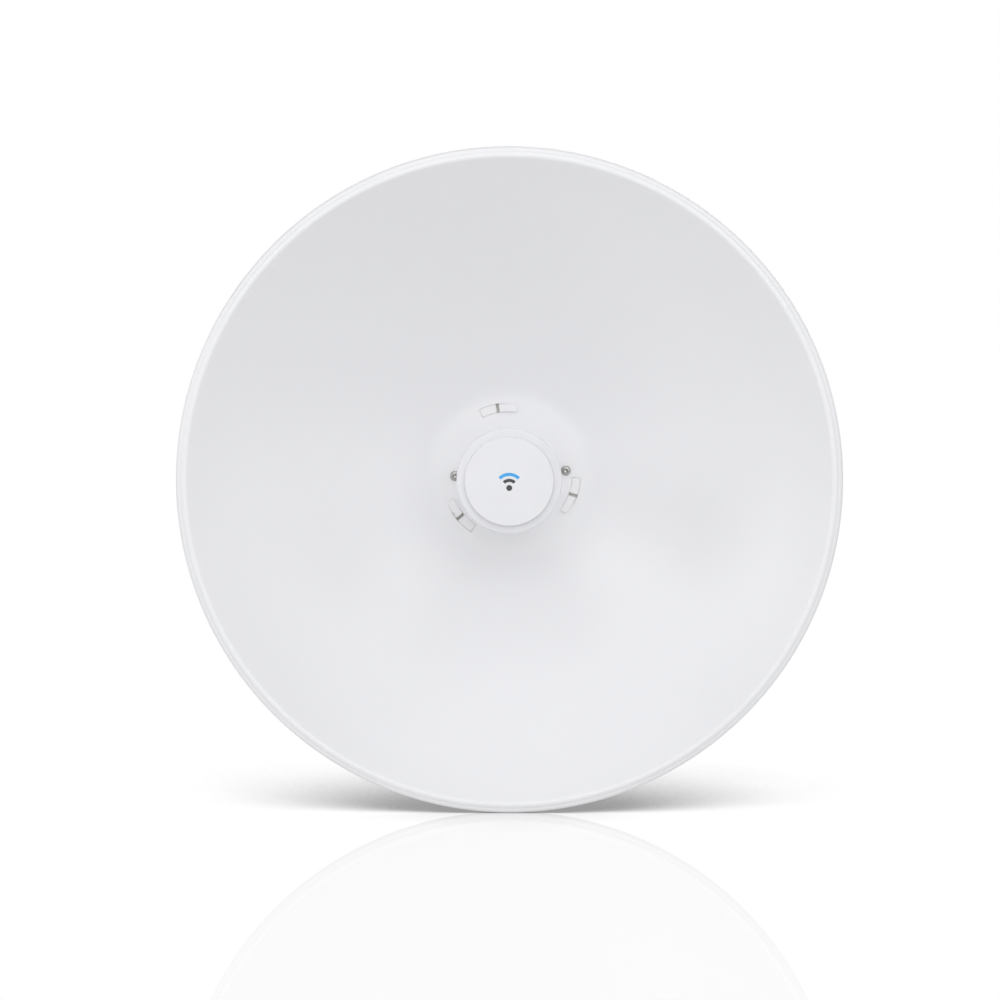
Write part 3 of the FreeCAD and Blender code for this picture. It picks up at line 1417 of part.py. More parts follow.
def clamp_washers():
    body = new_body("clamp_washers")
    ring = Sketch(body, "clamp_washer", "front", -S.web_z - S.bracket_sheet)
    ring.circle(S.bolt_x, 0, S.washer_radius)
    room = 0.3
    ring.circle(S.bolt_x, 0, S.bolt + room)
    mirror(body, [pad(ring, S.washer, toward=-1)])


def main():
    for make in (
        dish_reflector, twist_lock_plate, rear_cover, cable_door, cable_grommet,
        feed_tube, feed_end_cap, feed_seal, head_shell, cap_seal, front_cap, cap_mark_outer, cap_mark_inner,
        subreflector, radiator_board, driven_element, parasitic_disc, element_post,
        main_board, ethernet_jack, jack_contacts, capacitors, lan_transformer, radio_shield,
        front_end_shield, heat_spreader, coax_jumpers,
        status_leds, led_lenses, reset_switch, reset_button, feed_latch, latch_spring,
        dish_screws, dish_inserts, pole_bracket, pole_clamp, carriage_bolts, clamp_washers, clamp_nuts,
        pivot_bolts, pivot_nuts, lock_bolts, lock_nuts, tilt_bracket, bracket_screws, bracket_inserts,
    ):
        make()
    export()


def export():
    DOCUMENT.recompute()
    os.makedirs("parts", exist_ok=True)
    for item in DOCUMENT.Objects:
        if {"Invalid", "Error"} & set(item.State):
            raise RuntimeError(f"{item.Name} failed: {item.State}")
    parts = [o for o in DOCUMENT.Objects if o.TypeId in ("PartDesign::Body", "Part::Feature")]
    for part in parts:
        if part.Shape.isNull() or not part.Shape.isValid():
            raise RuntimeError(f"{part.Label} has no valid shape")
    for part in parts:
        part.Shape.exportStep(os.path.join("parts", part.Label + ".step"))
        print(f"{part.Label}: {len(part.Shape.Solids)} solids, {part.Shape.Volume:.0f} mm3")


main()
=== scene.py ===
"""Looks of the outdoor wireless bridge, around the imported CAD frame.

Places and sizes come from the frame's boxes, in metres: +Z up, -Y forward along the dish's axis.
"""

import json
import math

import bmesh
import bpy
from mathutils import Matrix, Vector

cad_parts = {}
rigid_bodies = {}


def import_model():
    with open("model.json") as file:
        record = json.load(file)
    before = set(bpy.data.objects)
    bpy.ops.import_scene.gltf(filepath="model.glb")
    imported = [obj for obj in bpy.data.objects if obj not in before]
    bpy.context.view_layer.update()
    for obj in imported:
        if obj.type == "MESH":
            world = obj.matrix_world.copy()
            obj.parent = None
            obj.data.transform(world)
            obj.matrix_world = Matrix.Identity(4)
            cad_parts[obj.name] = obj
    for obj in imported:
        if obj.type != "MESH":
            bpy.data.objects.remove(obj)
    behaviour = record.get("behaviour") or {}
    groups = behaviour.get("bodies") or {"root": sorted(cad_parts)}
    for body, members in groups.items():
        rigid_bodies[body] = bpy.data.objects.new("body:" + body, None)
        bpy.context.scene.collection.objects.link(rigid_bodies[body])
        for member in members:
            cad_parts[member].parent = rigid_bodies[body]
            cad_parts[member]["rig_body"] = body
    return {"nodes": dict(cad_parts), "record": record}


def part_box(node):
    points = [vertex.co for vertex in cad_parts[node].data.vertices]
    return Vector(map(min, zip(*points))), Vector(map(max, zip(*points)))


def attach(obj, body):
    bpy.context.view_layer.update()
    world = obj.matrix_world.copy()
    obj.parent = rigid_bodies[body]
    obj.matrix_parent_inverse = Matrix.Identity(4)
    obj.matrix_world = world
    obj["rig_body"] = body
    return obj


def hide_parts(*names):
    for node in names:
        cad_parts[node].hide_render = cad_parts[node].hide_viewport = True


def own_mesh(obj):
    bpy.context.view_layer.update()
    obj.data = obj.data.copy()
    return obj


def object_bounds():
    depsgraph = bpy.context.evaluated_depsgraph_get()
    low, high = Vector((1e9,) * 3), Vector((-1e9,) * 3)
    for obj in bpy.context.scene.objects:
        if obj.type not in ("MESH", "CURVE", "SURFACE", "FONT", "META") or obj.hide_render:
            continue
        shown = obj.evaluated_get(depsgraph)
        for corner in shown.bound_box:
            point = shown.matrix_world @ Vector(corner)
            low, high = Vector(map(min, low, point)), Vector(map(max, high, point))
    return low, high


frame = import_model()
cad_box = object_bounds()

MM = 0.001
NODES = frame["nodes"]


# ---- materials ----

# Pointiness over which an edge turns worn, and how much of the worn colour it takes.
WEAR_RANGE = (0.53, 0.6)
WEAR_AMOUNT = 0.6

class Material:
    """A procedural material, built from one Principled shader in object coordinates."""

    def __init__(self, name, colour, roughness, metallic=0.0, **sockets):
        self.material = bpy.data.materials.new(name)
        self.material.use_nodes = True
        self.nodes = self.material.node_tree.nodes
        self.links = self.material.node_tree.links
        self.shader = self.nodes["Principled BSDF"]
        self.place = self.nodes.new("ShaderNodeTexCoord").outputs["Object"]
        self.colour = tuple(colour) + (1.0,)
        self.height = None
        self.set("Base Color", self.colour)
        self.set("Roughness", roughness)
        self.set("Metallic", metallic)
        for socket, value in sockets.items():
            self.set(socket.replace("_", " "), value)

    def set(self, socket, value):
        self.shader.inputs[socket].default_value = value

    def stretched(self, stretch):
        """Object coordinates, stretched so that a pattern runs along an axis."""
        node = self.nodes.new("ShaderNodeMapping")
        node.inputs["Scale"].default_value = stretch
        self.links.new(self.place, node.inputs["Vector"])
        return node.outputs["Vector"]

    def noise(self, size, detail=3.0, stretch=None):
        """Smooth noise whose features are about a size across, in metres."""
        node = self.nodes.new("ShaderNodeTexNoise")
        node.inputs["Scale"].default_value = 1 / size
        node.inputs["Detail"].default_value = detail
        place = self.stretched(stretch) if stretch else self.place
        self.links.new(place, node.inputs["Vector"])
        return node.outputs["Fac"]

    def cells(self, size, feature="F1"):
        """Voronoi cells about a size across, in metres."""
        node = self.nodes.new("ShaderNodeTexVoronoi")
        node.feature = feature
        node.inputs["Scale"].default_value = 1 / size
        self.links.new(self.place, node.inputs["Vector"])
        return node

    def spread(self, value, low, high, start=0.3, end=0.7):
        """Maps a value's middle range to another range."""
        node = self.nodes.new("ShaderNodeMapRange")
        for socket, number in (("From Min", start), ("From Max", end), ("To Min", low), ("To Max", high)):
            node.inputs[socket].default_value = number
        self.links.new(value, node.inputs["Value"])
        return node.outputs["Result"]

    def tint(self, factor, colour):
        """Lays a colour over the base colour where the factor is high."""
        node = self.nodes.new("ShaderNodeMix")
        node.data_type = "RGBA"
        base = self.shader.inputs["Base Color"]
        if base.is_linked:
            self.links.new(base.links[0].from_socket, node.inputs["A"])
        else:
            node.inputs["A"].default_value = self.colour
        node.inputs["B"].default_value = tuple(colour) + (1.0,)
        self.links.new(factor, node.inputs["Factor"])
        self.links.new(node.outputs["Result"], base)

    def rough(self, value, low, high, start=0.3, end=0.7):
        """Varies the roughness between two values."""
        self.links.new(self.spread(value, low, high, start, end), self.shader.inputs["Roughness"])

    def bump(self, value, depth, strength=1.0):
        """Adds relief of a depth in metres."""
        node = self.nodes.new("ShaderNodeBump")
        node.inputs["Strength"].default_value = strength
        node.inputs["Distance"].default_value = depth
        self.links.new(value, node.inputs["Height"])
        if self.height:
            self.links.new(self.height, node.inputs["Normal"])
        self.height = node.outputs["Normal"]
        self.links.new(self.height, self.shader.inputs["Normal"])

    def worn(self, colour):
        """Lays a colour over the convex edges."""
        edge = self.nodes.new("ShaderNodeNewGeometry").outputs["Pointiness"]
        self.tint(self.spread(edge, 0.0, WEAR_AMOUNT, *WEAR_RANGE), colour)


def powder_coat():
    """White powder coat on sheet steel: satin, with a fine orange peel and faint dust."""
    m = Material("white_powder_coat", (0.785, 0.785, 0.80), 0.42, Coat_Weight=0.12, Coat_Roughness=0.28)
    m.rough(m.noise(0.05), 0.38, 0.46)
    m.tint(m.spread(m.noise(0.11, 5), 0.0, 0.35), (0.765, 0.768, 0.79))
    m.tint(m.spread(m.noise(0.0012, 2), 0.0, 0.10), (0.69, 0.70, 0.73))
    m.bump(m.noise(0.0011, 2), 0.00002, 0.35)
    m.bump(m.noise(0.0035, 2), 0.00004, 0.2)
    return m.material


def moulded_plastic(name, colour, roughness, grain=0.00035, depth=0.00002, strength=0.35):
    """Moulded plastic with a spark-eroded grain."""
    m = Material(name, colour, roughness, Specular_IOR_Level=0.45)
    m.rough(m.noise(0.012, 4), roughness - 0.05, roughness + 0.06)
    darker = [c * 0.94 for c in colour]
    m.tint(m.spread(m.noise(0.035, 4), 0.0, 0.35), darker)
    m.bump(m.noise(grain, 2), depth, strength)
    return m.material


def galvanised():
    """Hot-dip galvanised steel: soft spangle, cloudy sheen and white bloom."""
    m = Material("galvanised_steel", (0.60, 0.615, 0.63), 0.4, metallic=0.92)
    spangle = m.cells(0.0045)
    grey = m.nodes.new("ShaderNodeSeparateColor")
    m.links.new(spangle.outputs["Color"], grey.inputs["Color"])
    m.tint(m.spread(grey.outputs["Red"], 0.0, 0.5, 0.0, 1.0), (0.46, 0.475, 0.50))
    m.tint(m.spread(m.noise(0.02, 5), 0.0, 0.4), (0.70, 0.71, 0.72))
    m.rough(grey.outputs["Green"], 0.30, 0.50, 0.0, 1.0)
    m.bump(m.noise(0.0009, 3), 0.00003, 0.35)
    m.worn((0.78, 0.79, 0.80))
    return m.material


def plated_steel(name, colour, roughness):
    """Zinc-plated or stainless fastener steel with a fine mottle."""
    m = Material(name, colour, roughness, metallic=0.96)
    m.rough(m.noise(0.004, 4), roughness - 0.08, roughness + 0.1)
    m.tint(m.spread(m.noise(0.006, 5), 0.0, 0.5), [c * 0.8 for c in colour])
    m.bump(m.noise(0.0005, 2), 0.00001, 0.4)
    m.worn([min(1.0, c * 1.25) for c in colour])
    return m.material


def rubber():
    m = Material("black_rubber", (0.022, 0.022, 0.024), 0.72, Specular_IOR_Level=0.4)
    m.rough(m.noise(0.004, 4), 0.62, 0.82)
    m.tint(m.spread(m.noise(0.003, 5), 0.0, 0.5), (0.05, 0.05, 0.053))
    m.bump(m.noise(0.0004, 3), 0.00002, 0.5)
    return m.material


def ink(name, colour):
    """Pad-printed ink, with pinholes."""
    m = Material(name, colour, 0.45)
    m.rough(m.noise(0.002), 0.4, 0.52)
    m.tint(m.spread(m.noise(0.0007, 4), 0.0, 0.25), [min(1.0, c * 1.3 + 0.02) for c in colour])
    m.bump(m.noise(0.0005, 2), 0.00001, 0.3)
    return m.material


def laminate():
    """Circuit board: green mask over tracks."""
    m = Material("board_laminate", (0.015, 0.13, 0.07), 0.35, Coat_Weight=0.3, Coat_Roughness=0.15)
    tracks = m.cells(0.0024, "DISTANCE_TO_EDGE").outputs["Distance"]
    m.tint(m.spread(tracks, 0.6, 0.0, 0.04, 0.08), (0.05, 0.24, 0.13))
    m.rough(m.noise(0.003), 0.3, 0.42)
    m.bump(m.spread(tracks, 1.0, 0.0, 0.04, 0.08), 0.00003, 0.5)
    return m.material


def soft_metal(name, colour, roughness, stretch=None):
    """Bare aluminium, copper or tinned plate, with rolling marks."""
    m = Material(name, colour, roughness, metallic=0.95)
    m.rough(m.noise(0.002, 4, stretch=stretch), roughness - 0.08, roughness + 0.1)
    m.tint(m.spread(m.noise(0.008, 4), 0.0, 0.4), [c * 0.85 for c in colour])
    m.bump(m.noise(0.0006, 3, stretch=stretch), 0.00001, 0.4)
    return m.material


def clear_plastic():
    m = Material("clear_lens", (0.92, 0.96, 0.98), 0.08, Transmission_Weight=0.9, IOR=1.58)
    m.rough(m.noise(0.001), 0.05, 0.12)
    m.bump(m.noise(0.0008, 2), 0.000005, 0.3)
    return m.material


ALONG_Y = (1.0, 0.12, 1.0)
MATERIALS = {
    "white_powder_coat": powder_coat(),
    "white_housing": moulded_plastic("white_housing", (0.79, 0.795, 0.82), 0.46),
    "white_cap": moulded_plastic("white_cap", (0.735, 0.737, 0.76), 0.40, 0.0003, 0.000012, 0.3),
    "white_plate": moulded_plastic("white_plate", (0.80, 0.80, 0.815), 0.5),
    "galvanised_steel": galvanised(),
    "plated_fastener": plated_steel("plated_fastener", (0.47, 0.47, 0.455), 0.34),
    "stainless": plated_steel("stainless", (0.33, 0.325, 0.315), 0.26),
    "insert_brass": plated_steel("insert_brass", (0.72, 0.52, 0.24), 0.3),
    "contact_gold": soft_metal("contact_gold", (0.85, 0.62, 0.26), 0.22),
    "black_rubber": rubber(),
    "mark_blue": ink("mark_blue", (0.03, 0.33, 0.72)),
    "mark_grey": ink("mark_grey", (0.035, 0.036, 0.04)),
    "board_laminate": laminate(),
    "component_black": moulded_plastic("component_black", (0.02, 0.02, 0.022), 0.45, 0.0002),
    "capacitor_sleeve": moulded_plastic("capacitor_sleeve", (0.02, 0.03, 0.09), 0.25, 0.0004, 0.00001),
    "tinned_steel": soft_metal("tinned_steel", (0.66, 0.66, 0.65), 0.3, ALONG_Y),
    "bare_aluminium": soft_metal("bare_aluminium", (0.78, 0.785, 0.79), 0.32, ALONG_Y),
    "copper": soft_metal("copper", (0.74, 0.42, 0.27), 0.3),
    "led_die": moulded_plastic("led_die", (0.85, 0.84, 0.62), 0.3, 0.0003, 0.00001),
    "clear_lens": clear_plastic(),
    "button_grey": moulded_plastic("button_grey", (0.16, 0.165, 0.18), 0.45),
}


def dress_nodes():
    """Gives each CAD node its slot's material."""
    for entry in frame["record"]["subparts"]:
        node = NODES[entry["node"]]
        node.data.materials.clear()
        node.data.materials.append(MATERIALS[entry["material_slot"]])
        for face in node.data.polygons:
            face.material_index = 0


# ---- shapes ----

# Angles in degrees above which an edge is shaded sharp and is rounded, and the rounding widths in mm.
SHARP = 32
EDGE_ANGLE = 40
SHEET_ROUND, MOULDED_ROUND, HOOK_ROUND = 0.35, 0.2, 0.04

def axis_matrix(origin, direction):
    """Stands a shape made along Z on a point, along a direction. Both are in the row frame."""
    turned = Vector(direction).to_track_quat("Z", "Y").to_matrix().to_4x4()
    return Matrix.Translation(Vector(origin)) @ turned


def arc(centre, radius, start, end, count):
    """Points of an arc, in (radius, height), between two angles in degrees."""
    angles = [math.radians(start + (end - start) * k / count) for k in range(count + 1)]
    return [(centre[0] + radius * math.cos(a), centre[1] + radius * math.sin(a)) for a in angles]


def add_turned(mesh, rings, matrix=Matrix(), count=48, closed=True):
    """Adds a turned solid. Each ring is (radius, height) in mm, as a pair or as a function of the angle.

    A closed outline joins its last ring to its first; an open one starts and ends on the axis.
    """
    angles = [2 * math.pi * k / count for k in range(count)]
    loops = []
    for ring in rings:
        pairs = [ring(a) if callable(ring) else ring for a in angles]
        if all(abs(r) < 1e-9 for r, _ in pairs):
            loops.append([mesh.verts.new(matrix @ Vector((0, 0, pairs[0][1] * MM)))])
            continue
        loops.append([
            mesh.verts.new(matrix @ Vector((r * math.cos(a) * MM, r * math.sin(a) * MM, h * MM)))
            for a, (r, h) in zip(angles, pairs)
        ])
    followers = loops[1:] + loops[:1] if closed else loops[1:]
    for low, high in zip(loops, followers):
        for k in range(count):
            n = (k + 1) % count
            if len(low) == 1 and len(high) == 1:
                continue
            if len(low) == 1:
                corners = (low[0], high[n], high[k])
            elif len(high) == 1:
                corners = (low[k], low[n], high[0])
            else:
                corners = (low[k], low[n], high[n], high[k])
            mesh.faces.new(corners)


def finish_mesh(mesh, name, material):
    """Makes an object of a mesh, smooth except at its sharp edges."""
    bmesh.ops.recalc_face_normals(mesh, faces=mesh.faces)
    for face in mesh.faces:
        face.smooth = True
    limit = math.radians(SHARP)
    for edge in mesh.edges:
        edge.smooth = not edge.is_manifold or edge.calc_face_angle(0) < limit
    data = bpy.data.meshes.new(name)
    mesh.to_mesh(data)
    mesh.free()
    data.materials.append(MATERIALS[material])
    item = bpy.data.objects.new(name, data)
    bpy.context.scene.collection.objects.link(item)
    return item


def stand_in(item, node):
    """The piece takes a CAD node's place and body, and the node is hidden."""
    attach(item, NODES[node]["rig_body"])
    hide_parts(node)


# Chamfered corners of a hexagon, the countersink of its bore, and a thread's form in pitches.
CHAMFER_FACE, CHAMFER_SLOPE = 0.97, 30
BORE_SINK = 0.5
THREAD_DEPTH = 0.55
RINGS_PER_TURN = 6
THREAD_LEAD, LEAD_SLOPE = 1, 0.8


def hexagon_radius(flats, angle):
    """Radius of a hexagon at an angle, from its size across flats."""
    sixth = math.pi / 3
    return flats / 2 / math.cos((angle % sixth) - sixth / 2)


def hexagon_rings(flats, low, high, bore=0.0):
    """Rings of a hexagon, its corners chamfered at both ends, with a countersunk bore if it has one."""
    face = flats / 2 * CHAMFER_FACE
    slope = math.tan(math.radians(CHAMFER_SLOPE))

    def corner(angle, level, side):
        radius = hexagon_radius(flats, angle)
        return radius, level - side * (radius - face) * slope

    rings = [(face, low), lambda a: corner(a, low, -1), lambda a: corner(a, high, 1), (face, high)]
    if bore:
        sink = BORE_SINK
        return [(bore, low + sink), (bore + sink, low), *rings, (bore + sink, high), (bore, high - sink)]
    return [(0, low), *rings, (0, high)]


def thread_rings(radius, pitch, low, high):
    """Rings of a threaded stretch, tapering into a chamfer at its low end."""
    depth = THREAD_DEPTH * pitch
    count = int((high - low) / pitch * RINGS_PER_TURN)
    rings = []
    for k in range(count + 1):
        level = low + (high - low) * k / count
        most = radius - max(0.0, THREAD_LEAD - (level - low)) * LEAD_SLOPE

        def ring(angle, level=level, most=most):
            turn = (level / pitch - angle / (2 * math.pi)) % 1
            return min(most, radius - depth * abs(2 * turn - 1)), level

        rings.append(ring)
    return [(0, low), *rings, (0, high)]


# ---- reflector ----

# Sizes in mm and angles in degrees, as in the CAD.
BORESIGHT = axis_matrix((0, 0, 0), (0, -1, 0))
BLEND_ANGLE = 16.6
FOCAL = 120.0
BLEND_BEND = 40.0
RIM_START = 253.0
ROLL_BEND, ROLL_ANGLE = 4.0, 45.0
GROOVE_BEND, GROOVE_ANGLE = 1.0, 5.0
LIP_BEND = 3.45
SKIRT = 6.0
SHEET = 1.0
DISH_BORE = 27.0
SLOT_RADII = (50.8, 58.3)
SLOT_ANGLES = (94.6, 116.4)
SCREW_CIRCLE, SCREW_ANGLE, SCREW_HOLE = 45.5, 2.8, 2.2
LOCKS = 3
CUT_FRONT, CUT_BACK = 2, 3
SLOT_STEPS, HOLE_STEPS = 12, 32
DISH_ROUND = 0.18


def dish_section(flat, depth):
    """The reflector's section at a depth behind its front face, from its bore to its skirt."""
    slope = math.radians(BLEND_ANGLE)
    blend_x = 2 * FOCAL * math.tan(slope)
    flat_x = blend_x - BLEND_BEND * math.sin(slope)
    blend_z = flat + BLEND_BEND * (1 - math.cos(slope))
    vertex = blend_z - blend_x**2 / (4 * FOCAL)
    points = [(DISH_BORE, flat - depth)]
    points += arc((flat_x, flat + BLEND_BEND), BLEND_BEND + depth, -90, -90 + BLEND_ANGLE, 10)
    steps = 46
    for k in range(1, steps):
        x = blend_x + (RIM_START - blend_x) * k / steps
        length = math.hypot(x, 2 * FOCAL)
        points.append((x + depth * x / length, vertex + x * x / (4 * FOCAL) - depth * 2 * FOCAL / length))
    length = math.hypot(RIM_START, 2 * FOCAL)
    rise, run = RIM_START / length, 2 * FOCAL / length
    roll = (RIM_START + ROLL_BEND * rise, vertex + RIM_START**2 / (4 * FOCAL) - ROLL_BEND * run)
    start = math.degrees(math.atan2(run, -rise))
    points += arc(roll, ROLL_BEND - depth, start, 90 - ROLL_ANGLE, 14)
    out, up = math.sin(math.radians(ROLL_ANGLE)), math.cos(math.radians(ROLL_ANGLE))
    reach = ROLL_BEND + GROOVE_BEND
    groove = (roll[0] + reach * out, roll[1] + reach * up)
    points += arc(groove, GROOVE_BEND + depth, 270 - ROLL_ANGLE, 270 - GROOVE_ANGLE, 6)
    reach = GROOVE_BEND + LIP_BEND
    lip = (
        groove[0] - reach * math.sin(math.radians(GROOVE_ANGLE)),
        groove[1] - reach * math.cos(math.radians(GROOVE_ANGLE)),
    )
    points += arc(lip, LIP_BEND - depth, 90 - GROOVE_ANGLE, 0, 12)
    points.append((lip[0] + LIP_BEND - depth, lip[1] - SKIRT))
    return points


def on_face(radius, angle):
    """A point across the boresight, as seen from the front, in metres."""
    return radius * math.cos(math.radians(angle)) * MM, radius * math.sin(math.radians(angle)) * MM


def cutter(outline, front, back):
    """A closed prism through the reflector, from an outline of (x, z) in metres."""
    mesh = bmesh.new()
    near = [mesh.verts.new((x, -front * MM, z)) for x, z in outline]
    far = [mesh.verts.new((x, -back * MM, z)) for x, z in outline]
    mesh.faces.new(near)
    mesh.faces.new(far[::-1])
    for k in range(len(outline)):
        n = (k + 1) % len(outline)
        mesh.faces.new((near[k], far[k], far[n], near[n]))
    bmesh.ops.recalc_face_normals(mesh, faces=mesh.faces)
    data = bpy.data.meshes.new("cutter")
    mesh.to_mesh(data)
    mesh.free()
    item = bpy.data.objects.new("cutter", data)
    bpy.context.scene.collection.objects.link(item)
    return item


def apply_modifiers(item):
    """Turns a piece's modifiers into its mesh."""
    depsgraph = bpy.context.evaluated_depsgraph_get()
    data = bpy.data.meshes.new_from_object(item.evaluated_get(depsgraph))
    item.modifiers.clear()
    item.data = data


def reflector():
    """The dish, with its slots and screw holes. Gives how far forward its flat face stands, in mm."""
    low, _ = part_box("dish_reflector")
    flat = -low.y / MM - max(z for _, z in dish_section(0.0, 0.0))
    section = dish_section(flat, 0.0) + dish_section(flat, SHEET)[::-1]
    mesh = bmesh.new()
    add_turned(mesh, section, BORESIGHT, count=288)
    dish = finish_mesh(mesh, "reflector", "white_powder_coat")
    cutters = []
    for k in range(LOCKS):
        turn = 360 * k / LOCKS
        first, last = SLOT_ANGLES[0] + turn, SLOT_ANGLES[1] + turn
        steps = [first + (last - first) * i / SLOT_STEPS for i in range(SLOT_STEPS + 1)]
        outline = [on_face(SLOT_RADII[1], a) for a in steps]
        outline += [on_face(SLOT_RADII[0], a) for a in steps[::-1]]
        cutters.append(cutter(outline, flat + CUT_FRONT, flat - CUT_BACK))
    for turn in (0, 180):
        x, z = on_face(SCREW_CIRCLE, SCREW_ANGLE + turn)
        ring = [2 * math.pi * i / HOLE_STEPS for i in range(HOLE_STEPS)]
        outline = [(x + SCREW_HOLE * MM * math.cos(a), z + SCREW_HOLE * MM * math.sin(a)) for a in ring]
        cutters.append(cutter(outline, flat + CUT_FRONT, flat - CUT_BACK))
    for item in cutters:
        cut = dish.modifiers.new("cut", "BOOLEAN")
        cut.operation = "DIFFERENCE"
        cut.solver = "EXACT"
        cut.object = item
    apply_modifiers(dish)
    for item in cutters:
        bpy.data.objects.remove(item)
    round_edges(dish, DISH_ROUND)
    apply_modifiers(dish)
    stand_in(dish, "dish_reflector")
    return flat


def slot_shroud(flat):
    """The plate's grey backing ring, which shows through the gap beside each hook."""
    inner, outer, thick, behind, edge = 50.6, 59.3, 1.4, 4.3, 0.25
    top = flat - behind
    ring = [
        (inner, top - thick), (outer, top - thick), (outer, top - edge), (outer - edge, top),
        (inner + edge, top), (inner, top - edge),
    ]
    mesh = bmesh.new()
    add_turned(mesh, ring, BORESIGHT, count=192)
    item = finish_mesh(mesh, "slot_shroud", "white_plate")
    item.data.materials[0] = moulded_plastic("shroud_grey", (0.78, 0.765, 0.70), 0.6)
    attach(item, NODES["twist_lock_plate"]["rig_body"])


def round_edges(item, width):
    """Rounds a piece's sharp edges by a width in mm."""
    bevel = item.modifiers.new("round_edges", "BEVEL")
    bevel.width = width * MM
    bevel.segments = 2
    bevel.limit_method = "ANGLE"
    bevel.angle_limit = math.radians(EDGE_ANGLE)
    bevel.use_clamp_overlap = True
    bevel.harden_normals = True


def soften_node(name, width):
    """Joins a CAD node's split corners and rounds its sharp edges."""
    node = NODES[name]
    weld = node.modifiers.new("join_corners", "WELD")
    weld.merge_threshold = 0.005 * MM
    round_edges(node, width)


# ---- fasteners ----

M8, M8_PITCH, M8_FLANGE, M8_FLATS, M8_NUT = 4.0, 1.25, 8.7, 13.0, 8.0
M8_HEAD, M8_LENGTH, M8_SIDE_NUT = 6.4, 15.5, 7.0
M6, M6_PITCH, M6_FLANGE, M6_FLATS = 3.0, 1.0, 6.6, 10.0
M6_HEAD, M6_LENGTH, M6_SIDE_NUT = 5.0, 14.5, 6.0
NUT_ROOM = 0.05


def sides(offset):
    """A distance to either side."""
    return (offset, -offset)


def flange_rings(radius, base, top, rise):
    """A cone-topped flange, from its bearing face up."""
    edge = 0.35
    return [
        (0, 0), (radius - edge, 0), (radius, edge), (radius, base - 0.3), (radius - 0.3, base),
        (top, rise), (0, rise),
    ]


def add_flange_bolt(mesh, place, shank, pitch, length, flange, flats, head):
    """A flanged hexagon bolt whose head stands on the place and whose shank goes down from it."""
    add_turned(mesh, flange_rings(flange, 1.4, flats / 2 * 0.98, 1.9), place, closed=False)
    top = hexagon_rings(flats, 0.6, head)
    dish = [(flats * 0.36, head), (flats * 0.30, head - 0.4), (0, head - 0.4)]
    add_turned(mesh, top[:-1] + dish, place, count=96, closed=False)
    add_turned(mesh, thread_rings(shank, pitch, -length, 0.2), place, count=28, closed=False)


def add_flange_nut(mesh, place, bore, flange, flats, height):
    """A flanged hexagon nut standing on the place."""
    ring = [
        (bore, 0), (flange - 0.35, 0), (flange, 0.35), (flange, 1.3), (flange - 0.3, 1.6),
        (flats / 2 * 0.98, 2.2), (bore, 2.2),
    ]
    add_turned(mesh, ring, place)
    add_turned(mesh, hexagon_rings(flats, 0.8, height, bore), place, count=96)


def carriage_bolts():
    """Dome-headed bolts with a square neck, a plain shank and a threaded end."""
    low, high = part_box("carriage_bolts")
    head_radius, head_height, rim = high.z / MM, 4.4, 0.9
    x = high.x - high.z
    face = low.y + head_height * MM
    length = (high.y - face) / MM
    neck, neck_half = 3.0, 4.0
    plain_radius, plain_end, thread_start = 3.6, -35, -32
    mesh = bmesh.new()
    dome = [(0, 0), (head_radius - 0.4, 0), (head_radius, 0.5), (head_radius - 0.1, rim)]
    sphere = (head_radius**2 + (head_height - rim) ** 2) / (2 * (head_height - rim))
    dome_steps = 11
    for k in range(1, dome_steps + 1):
        r = head_radius * (1 - k / dome_steps)
        dome.append((r, head_height - sphere + math.sqrt(sphere**2 - r * r)))
    for side in sides(x):
        place = axis_matrix((side, face, 0), (0, -1, 0))
        add_turned(mesh, dome, place, closed=False)
        plain = [(0, plain_end), (plain_radius, plain_end), (plain_radius, -neck), (0, -neck)]
        add_turned(mesh, plain, place, count=32, closed=False)
        thread = thread_rings(M8, M8_PITCH, -length, thread_start)
        add_turned(mesh, thread, place, count=28, closed=False)
        square = bmesh.ops.create_cube(mesh, size=1)
        shape = Matrix.Diagonal((2 * neck_half * MM, 2 * neck_half * MM, (neck + 0.5) * MM, 1))
        middle = Matrix.Translation((0, 0, -(neck - 0.5) / 2 * MM))
        bmesh.ops.transform(mesh, matrix=place @ middle @ shape, verts=square["verts"])
    bolts = finish_mesh(mesh, "carriage_bolts_threaded", "plated_fastener")
    stand_in(bolts, "carriage_bolts")


def clamp_nuts():
    """The pole clamp's two nuts, on the carriage bolts."""
    low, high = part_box("clamp_nuts")
    mesh = bmesh.new()
    for side in sides(high.x - high.z):
        place = axis_matrix((side, low.y, 0), (0, 1, 0))
        add_flange_nut(mesh, place, M8 + NUT_ROOM, M8_FLANGE, M8_FLATS, M8_NUT)
    stand_in(finish_mesh(mesh, "clamp_nuts_hex", "plated_fastener"), "clamp_nuts")


def side_bolts(node, shank, pitch, flange, flats, head, length):
    """Both ears' bolts of a kind, from the node's box."""
    low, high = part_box(node)
    y, z = (low.y + high.y) / 2, (low.z + high.z) / 2
    mesh = bmesh.new()
    for side in (1, -1):
        face = high.x - head * MM
        place = axis_matrix((side * face, y, z), (side, 0, 0))
        add_flange_bolt(mesh, place, shank, pitch, length, flange, flats, head)
    stand_in(finish_mesh(mesh, node + "_threaded", "plated_fastener"), node)


def side_nuts(node, bore, flange, flats, height):
    """Both ears' nuts of a kind, from the node's box."""
    low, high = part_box(node)
    y, z = (low.y + high.y) / 2, (low.z + high.z) / 2
    mesh = bmesh.new()
    for side in (1, -1):
        place = axis_matrix((side * high.x, y, z), (-side, 0, 0))
        add_flange_nut(mesh, place, bore, flange, flats, height)
    stand_in(finish_mesh(mesh, node + "_hex", "plated_fastener"), node)


